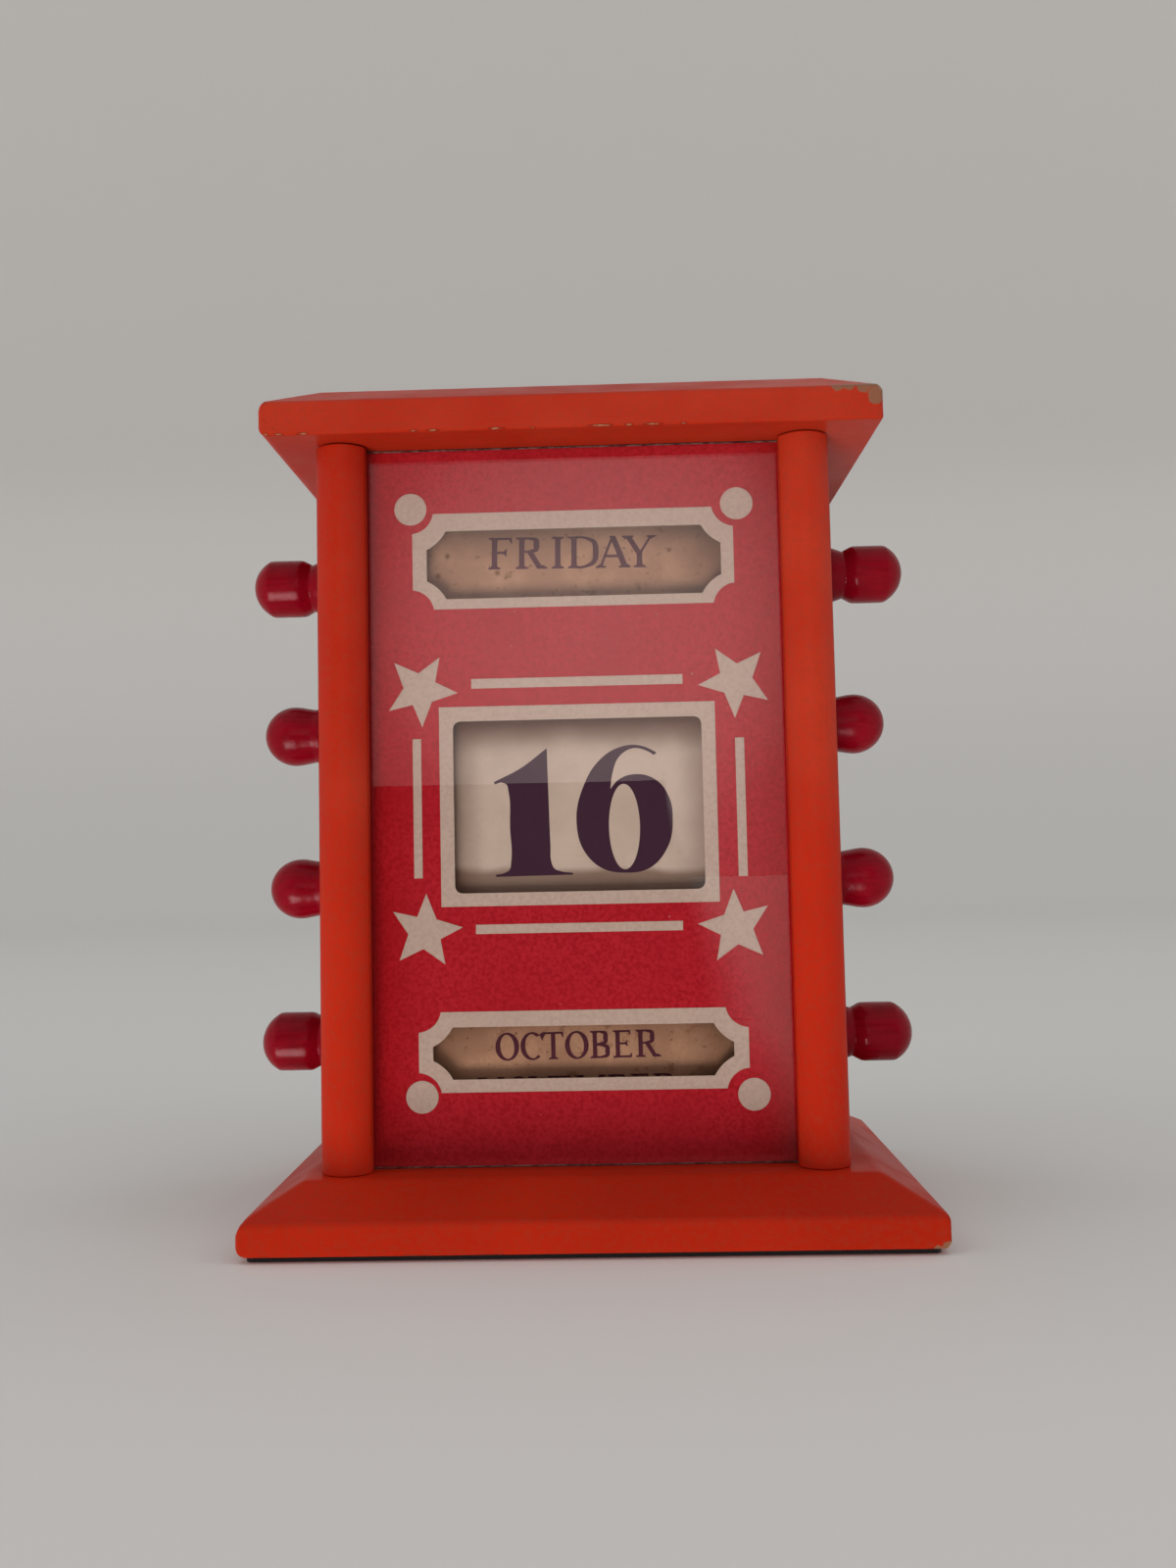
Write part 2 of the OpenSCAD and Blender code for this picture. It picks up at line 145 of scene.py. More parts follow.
class Nodes:
    """Builds the nodes of one tree."""

    def __init__(self, tree):
        self.tree = tree

    def feed(self, socket, value):
        if isinstance(value, bpy.types.NodeSocket):
            self.tree.links.new(value, socket)
        elif isinstance(value, tuple) and socket.type == "RGBA":
            socket.default_value = (*value, 1.0)
        else:
            socket.default_value = value

    def node(self, kind, inputs=None, **settings):
        made = self.tree.nodes.new("ShaderNode" + kind)
        for key, value in settings.items():
            setattr(made, key, value)
        for socket, value in (inputs or {}).items():
            self.feed(made.inputs[socket], value)
        return made

    def maths(self, operation, a, b=0.0):
        return self.node("Math", {0: a, 1: b}, operation=operation).outputs[0]

    def largest(self, values):
        total = values[0]
        for value in values[1:]:
            total = self.maths("MAXIMUM", total, value)
        return total

    def mix(self, factor, a, b, blend="MIX"):
        inputs = {0: factor, 6: a, 7: b}
        return self.node("Mix", inputs, data_type="RGBA", blend_type=blend).outputs[2]

    def seen(self):
        """1 where a surface is seen, mirrored or seen through glass; 0 for the light that it throws."""
        ray = self.node("LightPath").outputs
        return self.largest([ray["Is Camera Ray"], ray["Is Glossy Ray"], ray["Is Transmission Ray"]])


class Shader(Nodes):
    """A procedural material built round one Principled shader."""

    def __init__(self, name, **fixed):
        self.material = bpy.data.materials.new(name)
        self.material.use_nodes = True
        super().__init__(self.material.node_tree)
        self.out = self.tree.nodes["Principled BSDF"]
        for socket, value in fixed.items():
            self.out.inputs[socket.replace("_", " ")].default_value = value

    def coords(self, scale=(1, 1, 1), turn=(0, 0, 0)):
        """Object coordinates, turned and then stretched."""
        place = self.node("TexCoord").outputs["Object"]
        if any(turn):
            turn = tuple(math.radians(a) for a in turn)
            place = self.node("Mapping", {"Vector": place, "Rotation": turn}).outputs[0]
        return self.node("Mapping", {"Vector": place, "Scale": scale}).outputs[0]

    def axis(self, name):
        """One object coordinate, in metres."""
        return self.node("SeparateXYZ", {0: self.coords()}).outputs[name]

    def noise(self, scale, detail=3.0, rough=0.5, stretch=(1, 1, 1), turn=(0, 0, 0), warp=0.0):
        made = self.node("TexNoise", {
            "Vector": self.coords(stretch, turn), "Scale": scale, "Detail": detail,
            "Roughness": rough, "Distortion": warp,
        })
        return made.outputs["Fac"]

    def ramp(self, value, low, high, to_low=0.0, to_high=1.0):
        made = self.node("MapRange", {
            "Value": value, "From Min": low, "From Max": high, "To Min": to_low, "To Max": to_high,
        }, interpolation_type="SMOOTHSTEP")
        return made.outputs["Result"]

    def near(self, place, radius):
        """1 at a place given in millimetres, falling to 0 at the radius."""
        inputs = {0: self.coords(), 1: tuple(v * MM for v in place)}
        gap = self.node("VectorMath", inputs, operation="DISTANCE")
        return self.ramp(gap.outputs["Value"], 0.0, radius * MM, 1.0, 0.0)

    def attribute(self, name):
        return self.node("Attribute", attribute_name=name).outputs["Fac"]

    def facing(self, name):
        """Size of one component of the object-space normal."""
        normal = self.node("TexCoord").outputs["Normal"]
        return self.maths("ABSOLUTE", self.node("SeparateXYZ", {0: normal}).outputs[name])

    def colour(self, value):
        self.feed(self.out.inputs["Base Color"], value)

    def roughness(self, value):
        self.feed(self.out.inputs["Roughness"], value)

    def bump(self, height, depth_mm, normal=None):
        """Adds a relief of the given depth; returns the normal for a further one."""
        inputs = {"Height": height, "Strength": 1.0, "Distance": depth_mm * MM}
        if normal is not None:
            inputs["Normal"] = normal
        made = self.node("Bump", inputs)
        self.feed(self.out.inputs["Normal"], made.outputs[0])
        return made.outputs[0]

    def surface(self, shader):
        """Shows this shader in place of the Principled one."""
        self.feed(self.tree.nodes["Material Output"].inputs["Surface"], shader.outputs[0])

    def surface_between(self, factor, colour):
        """Shows the Principled shader at a factor of 0, and a transparent one of the colour at 1."""
        clear = self.node("BsdfTransparent", {"Color": colour})
        inputs = {0: factor, 1: self.out.outputs[0], 2: clear.outputs[0]}
        self.surface(self.node("MixShader", inputs))


# ---------- materials ----------

GRAIN = {"x": (0.05, 1, 1), "z": (1, 1, 0.05)}
# Between these heights the paint turns to a paler tint: a painted reflection of the bright room on the upper
# half.
SHEEN_FROM_Z = 66
SHEEN_TO_Z = 92
RUBBED_SHARE = 0.72
# Where the painted shade toward the card's sides starts and is full, in mm inward from them.
CARD_SIDE_SHADE_SPAN = (14, 2)
# Painted shade inside each edge of the date window, and where the paper bends away below: where it
# starts and where it is full, in mm inward from the edge, and how strong it is. Top, foot, left, right.
WINDOW_SHADE = ((7.5, -0.2, 0.95), (5.2, 3.2, 0.68), (7.0, 1.0, 0.38), (6.0, -0.4, 0.34))
FOOT_SHADE_SLOPE = 0.018
# Painted shade toward the ends of the name windows: the x where it starts and the x where it is full, and
# how strong it is.
BAND_END_SHADE = ((-19.5, -30.0, 0.24), (14.0, 30.0, 0.62))


def paint_coat(s, fibres, tone):
    """Orange-red paint, paler on the upper half as a painted reflection, deeper along the grain, and
    mottled.
    """
    bright, sheened, deep, mottle = (
        tuple(tone * c for c in tint) for tint in (PAINT, PAINT_SHEENED, PAINT_DEEP, PAINT_MOTTLE)
    )
    # Painted reflection: the upper half takes the paler tint.
    paint = s.mix(s.ramp(s.axis("Z"), SHEEN_FROM_Z * MM, SHEEN_TO_Z * MM), bright, sheened)
    paint = s.mix(s.ramp(s.noise(28, 4), 0.3, 0.7), paint, deep)
    paint = s.mix(s.ramp(fibres, 0.60, 0.78, 0.0, 0.35), paint, deep)
    return s.mix(s.ramp(s.noise(900, 3, 0.6), 0.42, 0.68, 0.0, 0.36), paint, mottle)


def paint_wear(s, rubbed):
    """How far the paint is worn: unevenly along the arrises, and more so where it is rubbed."""
    edge = s.attribute("wear")
    worn = s.maths("MULTIPLY", edge, s.noise(650, 4, 0.65))
    if not rubbed:
        return worn
    spots = s.largest([s.near(place, radius) for place, radius in rubbed])
    return s.maths("ADD", worn, s.maths("MULTIPLY", s.maths("MULTIPLY", spots, RUBBED_SHARE), edge))


def painted_wood(name, grain, tone=1.0, gloss=0.1, rubbed=(), scratched=None, bared=()):
    """Satin paint over wood, worn along the arrises and the rubbed places, and gone where it is bared.

    Rubbed and bared are (place, radius) pairs in mm; scratched turns the scratches, in degrees.
    Tone scales each part's paint as painted light and shade.
    """
    s = Shader(name, Roughness=0.4, Specular_IOR_Level=gloss)
    fibres = s.noise(1100, 3, 0.6, GRAIN[grain])
    pores = s.noise(3200, 2, 0.6)
    paint = paint_coat(s, fibres, tone)
    if scratched:
        streaks = s.noise(1500, 2, 0.5, (1, 1, 0.12), scratched)
        paint = s.mix(s.ramp(streaks, 0.72, 0.78, 0.0, 0.4), paint, PAINT_GRIME)
    wear = paint_wear(s, rubbed)
    dirty = s.ramp(wear, 0.50, 0.62, 0.0, 0.45)
    worn = s.ramp(wear, 0.70, 0.80, 0.0, 0.85)
    paint = s.mix(dirty, paint, PAINT_GRIME)
    paint = s.mix(worn, paint, WORN_WOOD)
    if bared:
        spots = s.largest([s.near(place, radius) for place, radius in bared])
        ragged = s.maths("ADD", s.maths("MULTIPLY", s.noise(500, 4, 0.65), 1.1), spots)
        paint = s.mix(s.ramp(ragged, 0.86, 0.98, 0.0, 0.9), paint, RUBBED_WOOD)
    s.colour(paint)
    s.roughness(s.ramp(s.noise(90, 3), 0.3, 0.7, 0.32, 0.44))
    relief = s.bump(fibres, 0.05)
    relief = s.bump(pores, 0.012, relief)
    s.bump(s.maths("SUBTRACT", 1.0, worn), 0.06, relief)
    return s.material


def chipped_wood():
    """Dull bare wood inside a chip of the paint."""
    s = Shader("chipped_wood", Roughness=0.8)
    fibres = s.noise(1800, 4, 0.6, GRAIN["x"])
    s.colour(s.mix(s.ramp(fibres, 0.35, 0.65), CHIP_WOOD, WORN_WOOD))
    s.bump(fibres, 0.12)
    return s.material


def lacquered_knob():
    """Crimson stained wood under gloss lacquer, with the turning and the grain showing faintly."""
    s = Shader("lacquered_knob", Roughness=0.2, Specular_IOR_Level=0.12)
    streaks = s.noise(1500, 4, 0.6, (0.06, 1, 1))
    tone = s.noise(160, 3)
    stain = s.mix(s.ramp(streaks, 0.38, 0.72, 0.0, 0.5), KNOB_RED, KNOB_DARK)
    s.colour(s.mix(s.ramp(tone, 0.45, 0.75, 0.0, 0.5), stain, KNOB_DARK))
    lumps = s.bump(s.noise(1200, 2, 0.5), 0.045)
    rings = s.noise(2600, 2, 0.5, (1, 0.03, 0.03))
    lumps = s.bump(rings, 0.006, lumps)
    s.bump(streaks, 0.008, lumps)
    return s.material


def bare_turned_wood():
    """Plain pale wood with its grain along the axle."""
    s = Shader("bare_turned_wood", Roughness=0.62)
    fibres = s.noise(900, 5, 0.62, (0.04, 1, 1))
    rings = s.noise(120, 3, 0.5, (0.15, 1, 1), warp=0.6)
    wood = s.mix(s.ramp(rings, 0.35, 0.65), BARE_WOOD, BARE_WOOD_DARK)
    s.colour(s.mix(s.ramp(fibres, 0.45, 0.75, 0.0, 0.6), wood, BARE_WOOD_DARK))
    s.bump(fibres, 0.06)
    return s.material


def printed_card(name, tint, tint_deep, side_shade=WHITE):
    """Ink on card: mottled, specked with cream, with painted shade toward its sides, bare on the cut edges.
    """
    s = Shader(name, Roughness=0.5, Specular_IOR_Level=0.1)
    mottle = s.noise(1400, 3, 0.6)
    cloud = s.noise(45, 3)
    ink = s.mix(s.ramp(mottle, 0.35, 0.70), tint, tint_deep)
    ink = s.mix(s.ramp(cloud, 0.45, 0.75, 0.0, 0.4), ink, tint_deep)
    specks = s.ramp(s.noise(900, 1, 0.4), 0.80, 0.84, 0.0, 0.7)
    ink = s.mix(specks, ink, CREAM)
    # Painted shade: the ink darkens toward the card's sides, where the columns shade it.
    margin = s.maths("ABSOLUTE", s.axis("X"))
    side_shaded = s.mix(1.0, ink, side_shade, "MULTIPLY")
    inner, outer = ((CARD_HIGH.x - inward) * MM for inward in CARD_SIDE_SHADE_SPAN)
    ink = s.mix(s.ramp(margin, inner, outer), ink, side_shaded)
    cut = s.ramp(s.facing("Y"), 0.4, 0.6, 1.0, 0.0)
    s.colour(s.mix(cut, ink, CARD_CORE))
    s.roughness(s.ramp(mottle, 0.3, 0.7, 0.42, 0.58))
    s.bump(s.noise(2400, 2), 0.012)
    return s.material


def aged_paper(name, tint, tint_dull, spots, painted_shade=None, stains=()):
    """Old paper: fibre mottling, uneven toning, brown foxing spots, and painted shade where it is asked for.
    """
    s = Shader(name, Roughness=0.85, Specular_IOR_Level=0.1)
    fibres = s.noise(1500, 4, 0.6)
    toning = s.noise(70, 4, 0.6)
    paper = s.mix(s.ramp(toning, 0.40, 0.62), tint, tint_dull)
    paper = s.mix(s.ramp(fibres, 0.45, 0.70, 0.0, 0.5), paper, tint_dull)
    large = s.ramp(s.noise(330, 3, 0.6), 0.60, 0.74, 0.0, 0.5 * spots)
    small = s.ramp(s.noise(1100, 2, 0.5), 0.64, 0.74, 0.0, 0.7 * spots)
    stained = [s.near(place, radius) for place, radius in stains]
    paper = s.mix(s.largest([large, small] + stained), paper, FOXING)
    if painted_shade:
        # Painted shade: the paper is darkened toward the brown by the mask.
        paper = s.mix(painted_shade(s), paper, PAPER_SHADE)
    s.colour(paper)
    s.bump(fibres, 0.012)
    return s.material


def window_shade(s):
    """Painted shade on the date paper inside the edges of its window, and where it bends away below."""
    blur = s.ramp(s.noise(90, 2), 0.3, 0.7, -0.0004, 0.0004)
    x, z = s.maths("ADD", s.axis("X"), blur), s.maths("ADD", s.axis("Z"), blur)
    sloped = s.maths("ADD", z, s.maths("MULTIPLY", x, FOOT_SHADE_SLOPE))
    half_w, half_h = DATE_WINDOW[0] / 2, DATE_WINDOW[1] / 2
    top, foot = (z, DATE_MID_Z + half_h, -1), (sloped, DATE_MID_Z - half_h, 1)
    left, right = (x, -half_w, 1), (x, half_w, -1)
    unshaded = 1.0
    for (place, edge, inward), (start, full, strength) in zip((top, foot, left, right), WINDOW_SHADE):
        span = ((edge + inward * start) * MM, (edge + inward * full) * MM)
        unshaded = s.maths("MULTIPLY", unshaded, s.ramp(place, *span, 1.0, 1.0 - strength))
    return s.maths("SUBTRACT", 1.0, unshaded)


def band_end_shade(s):
    """Painted shade toward the two ends of the weekday and month windows."""
    x = s.axis("X")
    left, right = (s.ramp(x, start * MM, full * MM, 0.0, strength) for start, full, strength in BAND_END_SHADE)
    return s.maths("ADD", left, right)


def printing_ink(name, tint, fade):
    """Ink that lies a little unevenly on the paper."""
    s = Shader(name, Roughness=0.6, Specular_IOR_Level=0.12)
    patchy = s.ramp(s.noise(1900, 3, 0.6), 0.5, 0.8, 0.0, fade)
    s.colour(s.mix(patchy, tint, tuple(2.2 * c for c in tint)))
    return s.material


def clear_glass():
    """Sheet glass. Lamps and bounced light pass straight through, as they would through so thin a pane."""
    s = Shader("clear_glass", Roughness=0.0, Transmission_Weight=1.0, IOR=1.5)
    s.colour(GLASS_TINT)
    ray = s.node("LightPath").outputs
    s.surface_between(s.maths("MAXIMUM", ray["Is Shadow Ray"], ray["Is Diffuse Ray"]), GLASS_SHADOW)
    s.bump(s.noise(60, 2), 0.004)
    return s.material


def shaded_ground_glass():
    """The rough arris of a cut pane, chipped here and there, darkened as painted shade of the gap round the
    pane.
    """
    s = Shader("shaded_ground_glass", Roughness=0.7)
    chips = s.noise(600, 4, 0.7)
    s.colour(s.mix(s.ramp(chips, 0.4, 0.6), PANE_ARRIS_SHADED, PANE_ARRIS_SHADED_DEEP))
    s.bump(chips, 0.03)
    return s.material


def hardboard():
    """Brown pressed board with its fibre flecks."""
    s = Shader("hardboard", Roughness=0.7)
    flecks = s.noise(1300, 4, 0.7)
    cloud = s.noise(50, 3)
    board = s.mix(s.ramp(cloud, 0.3, 0.7), HARDBOARD, HARDBOARD_DARK)
    s.colour(s.mix(s.ramp(flecks, 0.5, 0.8, 0.0, 0.7), board, HARDBOARD_DARK))
    s.bump(flecks, 0.05)
    return s.material


def black_felt():
    """Black felt with a short nap."""
    s = Shader("black_felt", Roughness=1.0, Specular_IOR_Level=0.1, Sheen_Weight=0.12, Sheen_Roughness=0.5)
    nap = s.noise(2600, 5, 0.7)
    s.colour(s.mix(s.ramp(nap, 0.3, 0.7), FELT, tuple(2.5 * c for c in FELT)))
    s.bump(nap, 0.15)
    return s.material


def plain_steel():
    """Bright steel going brown in places."""
    s = Shader("plain_steel", Metallic=1.0, Roughness=0.38)
    brown = s.ramp(s.noise(700, 4, 0.6), 0.48, 0.66, 0.0, 0.8)
    s.colour(s.mix(brown, STEEL, RUST))
    s.roughness(s.ramp(brown, 0.0, 0.8, 0.3, 0.65))
    s.bump(s.noise(1800, 3), 0.02)
    return s.material


# ---------- mesh building ----------

def placed(name, data):
    """A new object in the scene."""
    made = bpy.data.objects.new(name, data)
    bpy.context.scene.collection.objects.link(made)
    return made


def add_piece(name, mesh, material, body, stands_for=()):
    """A mesh in millimetres becomes a piece that rides on a body and stands for CAD nodes."""
    mesh.transform(Matrix.Scale(MM, 4))
    piece = placed(name, mesh)
    if not mesh.materials:
        mesh.materials.append(material)
    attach(piece, body)
    if stands_for:
        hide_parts(*stands_for)
    return piece


def dress(node, material):
    """Gives a CAD node that shows its own finish."""
    frame["nodes"][node].material_slots[0].material = material


def mesh_from(bm, name):
    """A new mesh from a bmesh, which is freed."""
    mesh = bpy.data.meshes.new(name)
    bm.to_mesh(mesh)
    bm.free()
    return mesh


def applied(data, modifier="", **settings):
    """A mesh from a mesh or curve, with a modifier applied where one is named."""
    scratch = placed("scratch", data)
    if modifier:
        made = scratch.modifiers.new(modifier.lower(), modifier)
        for key, value in settings.items():
            setattr(made, key, value)
    graph = bpy.context.evaluated_depsgraph_get()
    graph.update()
    mesh = bpy.data.meshes.new_from_object(scratch.evaluated_get(graph))
    bpy.data.objects.remove(scratch)
    return mesh


def combined(mesh, tool_mesh, operation, **settings):
    """The mesh cut by, or kept within, a tool."""
    tool = placed("tool", tool_mesh)
    mesh = applied(mesh, "BOOLEAN", operation=operation, solver="EXACT", object=tool, **settings)
    bpy.data.objects.remove(tool)
    return mesh


def wall(bm, first, second):
    """Faces between two closed rings of vertices, either of which may be a single tip."""
    count = max(len(first), len(second))
    for i in range(count):
        j = (i + 1) % count
        quad = [loop[k % len(loop)] for loop, k in ((first, i), (first, j), (second, j), (second, i))]
        bm.faces.new(list(dict.fromkeys(quad)))


def smooth(mesh, crease=40):
    """Smooth shading, with edges sharper than the crease angle kept sharp."""
    mesh.shade_smooth()
    mesh.set_sharp_from_angle(angle=math.radians(crease))
    return mesh


def even_normals(piece):
    """Keeps wide flat faces flat beside their rounded arrises."""
    piece.modifiers.new("even_normals", "WEIGHTED_NORMAL").keep_sharp = True


def mark_wear(mesh, arrises):
    """Stores how close each vertex lies to an arris: 1 on it, 0 past the reach of wear."""
    layer = mesh.attributes.new("wear", "FLOAT", "POINT")
    for vertex, value in zip(mesh.vertices, layer.data):
        gap = min(distance_to_segment(vertex.co, a, b) for a, b in arrises)
        value.value = max(0.0, 1.0 - gap / WEAR_REACH)


def distance_to_segment(point, a, b):
    along = b - a
    share = max(0.0, min(1.0, (point - a).dot(along) / along.length_squared))
    return (point - a - share * along).length


def cut_chips(mesh, chips, wood):
    """Breaks small rough bites, (place, radius, seed), out of a mesh and leaves bare wood in them."""
    for place, radius, seed in chips:
        biter = bmesh.new()
        bmesh.ops.create_icosphere(biter, subdivisions=3, radius=radius)
        for vertex in biter.verts:
            wobble = noise.noise(vertex.co * (CHIP_LUMPS / radius) + Vector((seed, 0, 0)))
            vertex.co *= 1 + CHIP_ROUGHNESS * wobble
            vertex.co += Vector(place)
        for face in biter.faces:
            face.material_index = 1
        bite = mesh_from(biter, "bite")
        for material in (mesh.materials[0], wood):
            bite.materials.append(material)
        mesh = combined(mesh, bite, "DIFFERENCE")
    return mesh


# ---------- boards ----------

BOARD_BEVEL_W = 9.8
UPRIGHT_ARRIS_W = 0.9
NO_GAP = 0.01
WEAR_REACH = 0.9
CHIP_LUMPS = 1.3
CHIP_ROUGHNESS = 0.35


def board_mesh(low, high, edge_h, corner_w, arris_w):
    """A board with a wide bevel on its upper edges, and every arris softened, most so across the left end.

    Returns the mesh and the arrises.
    """
    bm = bmesh.new()
    rings = []
    for z, inset in ((low.z, 0), (low.z + edge_h, 0), (high.z, BOARD_BEVEL_W)):
        x0, x1, y0, y1 = low.x + inset, high.x - inset, low.y + inset, high.y - inset
        rings.append([bm.verts.new(c) for c in ((x0, y0, z), (x1, y0, z), (x1, y1, z), (x0, y1, z))])
    bm.faces.new(reversed(rings[0]))
    bm.faces.new(rings[2])
    for lower, upper in zip(rings, rings[1:]):
        wall(bm, lower, upper)
    weights = bm.edges.layers.float.new("bevel_weight_edge")
    arrises = []
    for edge in bm.edges:
        a, b = (v.co.copy() for v in edge.verts)
        arrises.append((a, b))
        upright = abs(a.x - b.x) + abs(a.y - b.y) < NO_GAP
        left_end = max(a.x, b.x) < low.x + NO_GAP
        width = UPRIGHT_ARRIS_W if upright else corner_w if left_end else arris_w
        edge[weights] = width / corner_w
    mesh = mesh_from(bm, "board")
    return applied(mesh, "BEVEL", limit_method="WEIGHT", width=corner_w, segments=4), arrises


def add_board(name, edge_h, corner_w, arris_w, material, wood, chips):
    """Stands for the CAD board of the same name, with softened, worn and chipped arrises."""
    mesh, arrises = board_mesh(*box_mm(name), edge_h, corner_w, arris_w)
    mesh.materials.append(material)
    mesh.materials.append(wood)
    mesh = cut_chips(mesh, chips, wood)
    mark_wear(mesh, arrises)
    even_normals(add_piece(name + "_piece", smooth(mesh), material, "housing", [name]))


# Places on a board are offsets in mm from one of its corners, followed by a radius and, for a chip, a seed.
# Places rubbed along the lower front edge are (x, radius).
CAP_EDGE_H = 6.5
CAP_CORNER_W = 1.9
CAP_ARRIS_W = 0.6
CAP_SCRATCH_TURN = (0, 55, 0)
CAP_FRONT_RUBBED = (
    (-58.1, 1.8), (-55.6, 2), (-50.8, 2.2), (-29.6, 1.9), (-26, 2.8), (-13.8, 3.6),
    (-6.9, 1.3), (6.2, 4.6), (11.3, 2), (16, 3.4), (21.7, 1.8),
)
CAP_CORNERS_RUBBED = (5, 3)
CAP_BARED = (
    ((-1.3, 0, -1.9), 3.0), ((-0.6, 0, 0), 3.4), ((-3.6, 0, 0.3), 2.8), ((-6.4, 0, 0.4), 2.2),
    ((-8.6, 0, 0.2), 1.9),
)
CAP_CHIPS = (((0.6, -0.5, 0.4), 2.0, 3),)
BASE_EDGE_H = 5.8
BASE_CORNER_W = 2.2
BASE_ARRIS_W = 0.9
BASE_FRONT_RUBBED = ((-57.5, 3), (-30, 6), (-16.5, 9), (62, 5))
BASE_CORNER_RUBBED = 2.5
BASE_BARED = (((-0.8, 0, 0.4), 1.9), ((-2.6, 0, 0.1), 1.4))
BASE_RIGHT_CHIPS = (((0.3, -0.3, -0.4), 1.9, 5), ((-3.4, -0.9, -0.6), 1.4, 8))
BASE_LEFT_CHIPS = (((0.2, -0.2, -0.6), 1.2, 13),)


def beside(corner, marks):
    """Marks whose places are offsets from a corner, with their true places."""
    return [(Vector(corner) + Vector(offset), *rest) for offset, *rest in marks]


def along_front(low, marks):
    """Marks along a board's lower front edge, with their true places."""
    return [((x, low.y, low.z), radius) for x, radius in marks]


def make_cap(wood):
    right = (CAP_HIGH.x, CAP_LOW.y, CAP_LOW.z + CAP_EDGE_H)
    left = (CAP_LOW.x, CAP_LOW.y, CAP_LOW.z + CAP_EDGE_H)
    rubbed = along_front(CAP_LOW, CAP_FRONT_RUBBED) + list(zip((right, left), CAP_CORNERS_RUBBED))
    # The cap's tone of 1.02 lightens its paint a little: painted light.
    paint = painted_wood(
        "cap_paint", "x", tone=1.02, gloss=0.12, rubbed=rubbed, scratched=CAP_SCRATCH_TURN,
        bared=beside(right, CAP_BARED),
    )
    chips = beside(right, CAP_CHIPS)
    add_board("cap_board", CAP_EDGE_H, CAP_CORNER_W, CAP_ARRIS_W, paint, wood, chips)


def make_base(wood):
    right = (BASE_HIGH.x, BASE_LOW.y, BASE_LOW.z)
    rubbed = along_front(BASE_LOW, BASE_FRONT_RUBBED)
    rubbed.append(((BASE_LOW.x, BASE_LOW.y, BASE_LOW.z + BASE_EDGE_H), BASE_CORNER_RUBBED))
    bared = beside(right, BASE_BARED)
    # The base's tone of 0.95 darkens its paint a little: painted shade.
    paint = painted_wood("base_paint", "x", tone=0.95, gloss=0.06, rubbed=rubbed, bared=bared)
    chips = beside(right, BASE_RIGHT_CHIPS) + beside(BASE_LOW, BASE_LEFT_CHIPS)
    add_board("base_board", BASE_EDGE_H, BASE_CORNER_W, BASE_ARRIS_W, paint, wood, chips)


def make_boards():
    wood = chipped_wood()
    make_cap(wood)
    make_base(wood)


# ---------- columns ----------

COLUMN_BULGE = 2.7
COLUMN_ARRIS = 0.35
COLUMN_TOP_GAP = 0.25
COLUMN_ARRIS_ANGLE = 35
PANE_REBATE_W = 3.0
FRONT_CHORDS = 28
MIRROR_X = Matrix.Scale(-1, 4, (1, 0, 0))


def column_outline(low, high):
    """Plan of the right column, anticlockwise: rounded front, flat back, rebate for the pane."""
    half_w = (high.x - low.x) / 2
    mid_x = (high.x + low.x) / 2
    radius = (half_w ** 2 + COLUMN_BULGE ** 2) / (2 * COLUMN_BULGE)
    sweep = math.asin(half_w / radius)
    points = []
    for i in range(FRONT_CHORDS + 1):
        angle = -sweep + 2 * sweep * i / FRONT_CHORDS
        points.append((mid_x + radius * math.sin(angle), low.y + radius * (1 - math.cos(angle))))
    rebate_x = low.x + PANE_REBATE_W
    return points + [
        (high.x, high.y), (rebate_x, high.y), (rebate_x, GLASS_LOW.y), (low.x, GLASS_LOW.y),
    ]


def prism(outline, z0, z1):
    """Upright prism over a plan outline."""
    bm = bmesh.new()
    lower = [bm.verts.new((x, y, z0)) for x, y in outline]
    upper = [bm.verts.new((x, y, z1)) for x, y in outline]
    bm.faces.new(reversed(lower))
    bm.faces.new(upper)
    wall(bm, lower, upper)
    return mesh_from(bm, "prism")


def column_arrises(outline, z0, z1):
    """The edges of a column's front that wear: its two upright ones and the curves at its foot and top."""
    front = outline[:FRONT_CHORDS + 1]
    arrises = [(Vector((*corner, z0)), Vector((*corner, z1))) for corner in (front[0], front[-1])]
    for z in (z0, z1):
        arrises += [(Vector((*a, z)), Vector((*b, z))) for a, b in zip(front, front[1:])]
    return arrises


def make_columns():
    """Both columns, the left one as a mirrored right one."""
    for side, node in ((1, "right_column"), (-1, "left_column")):
        low, high = box_mm(node)
        if side < 0:
            low.x, high.x = -high.x, -low.x
        top = high.z - COLUMN_TOP_GAP
        outline = column_outline(low, high)
        mesh = applied(
            prism(outline, low.z, top), "BEVEL", limit_method="ANGLE",
            angle_limit=math.radians(COLUMN_ARRIS_ANGLE), width=COLUMN_ARRIS, segments=3,
        )
        mark_wear(mesh, column_arrises(outline, low.z, top))
        if side < 0:
            mesh.transform(MIRROR_X)
            mesh.flip_normals()
        # The columns' tone of 1.08 lightens their paint: painted light.
        paint = painted_wood(node + "_paint", "z", tone=1.08)
        even_normals(add_piece(node + "_piece", smooth(mesh), paint, "housing", [node]))


# ---------- knobs ----------

TURNED_SIDES = 96
AXLE_R = 3.0


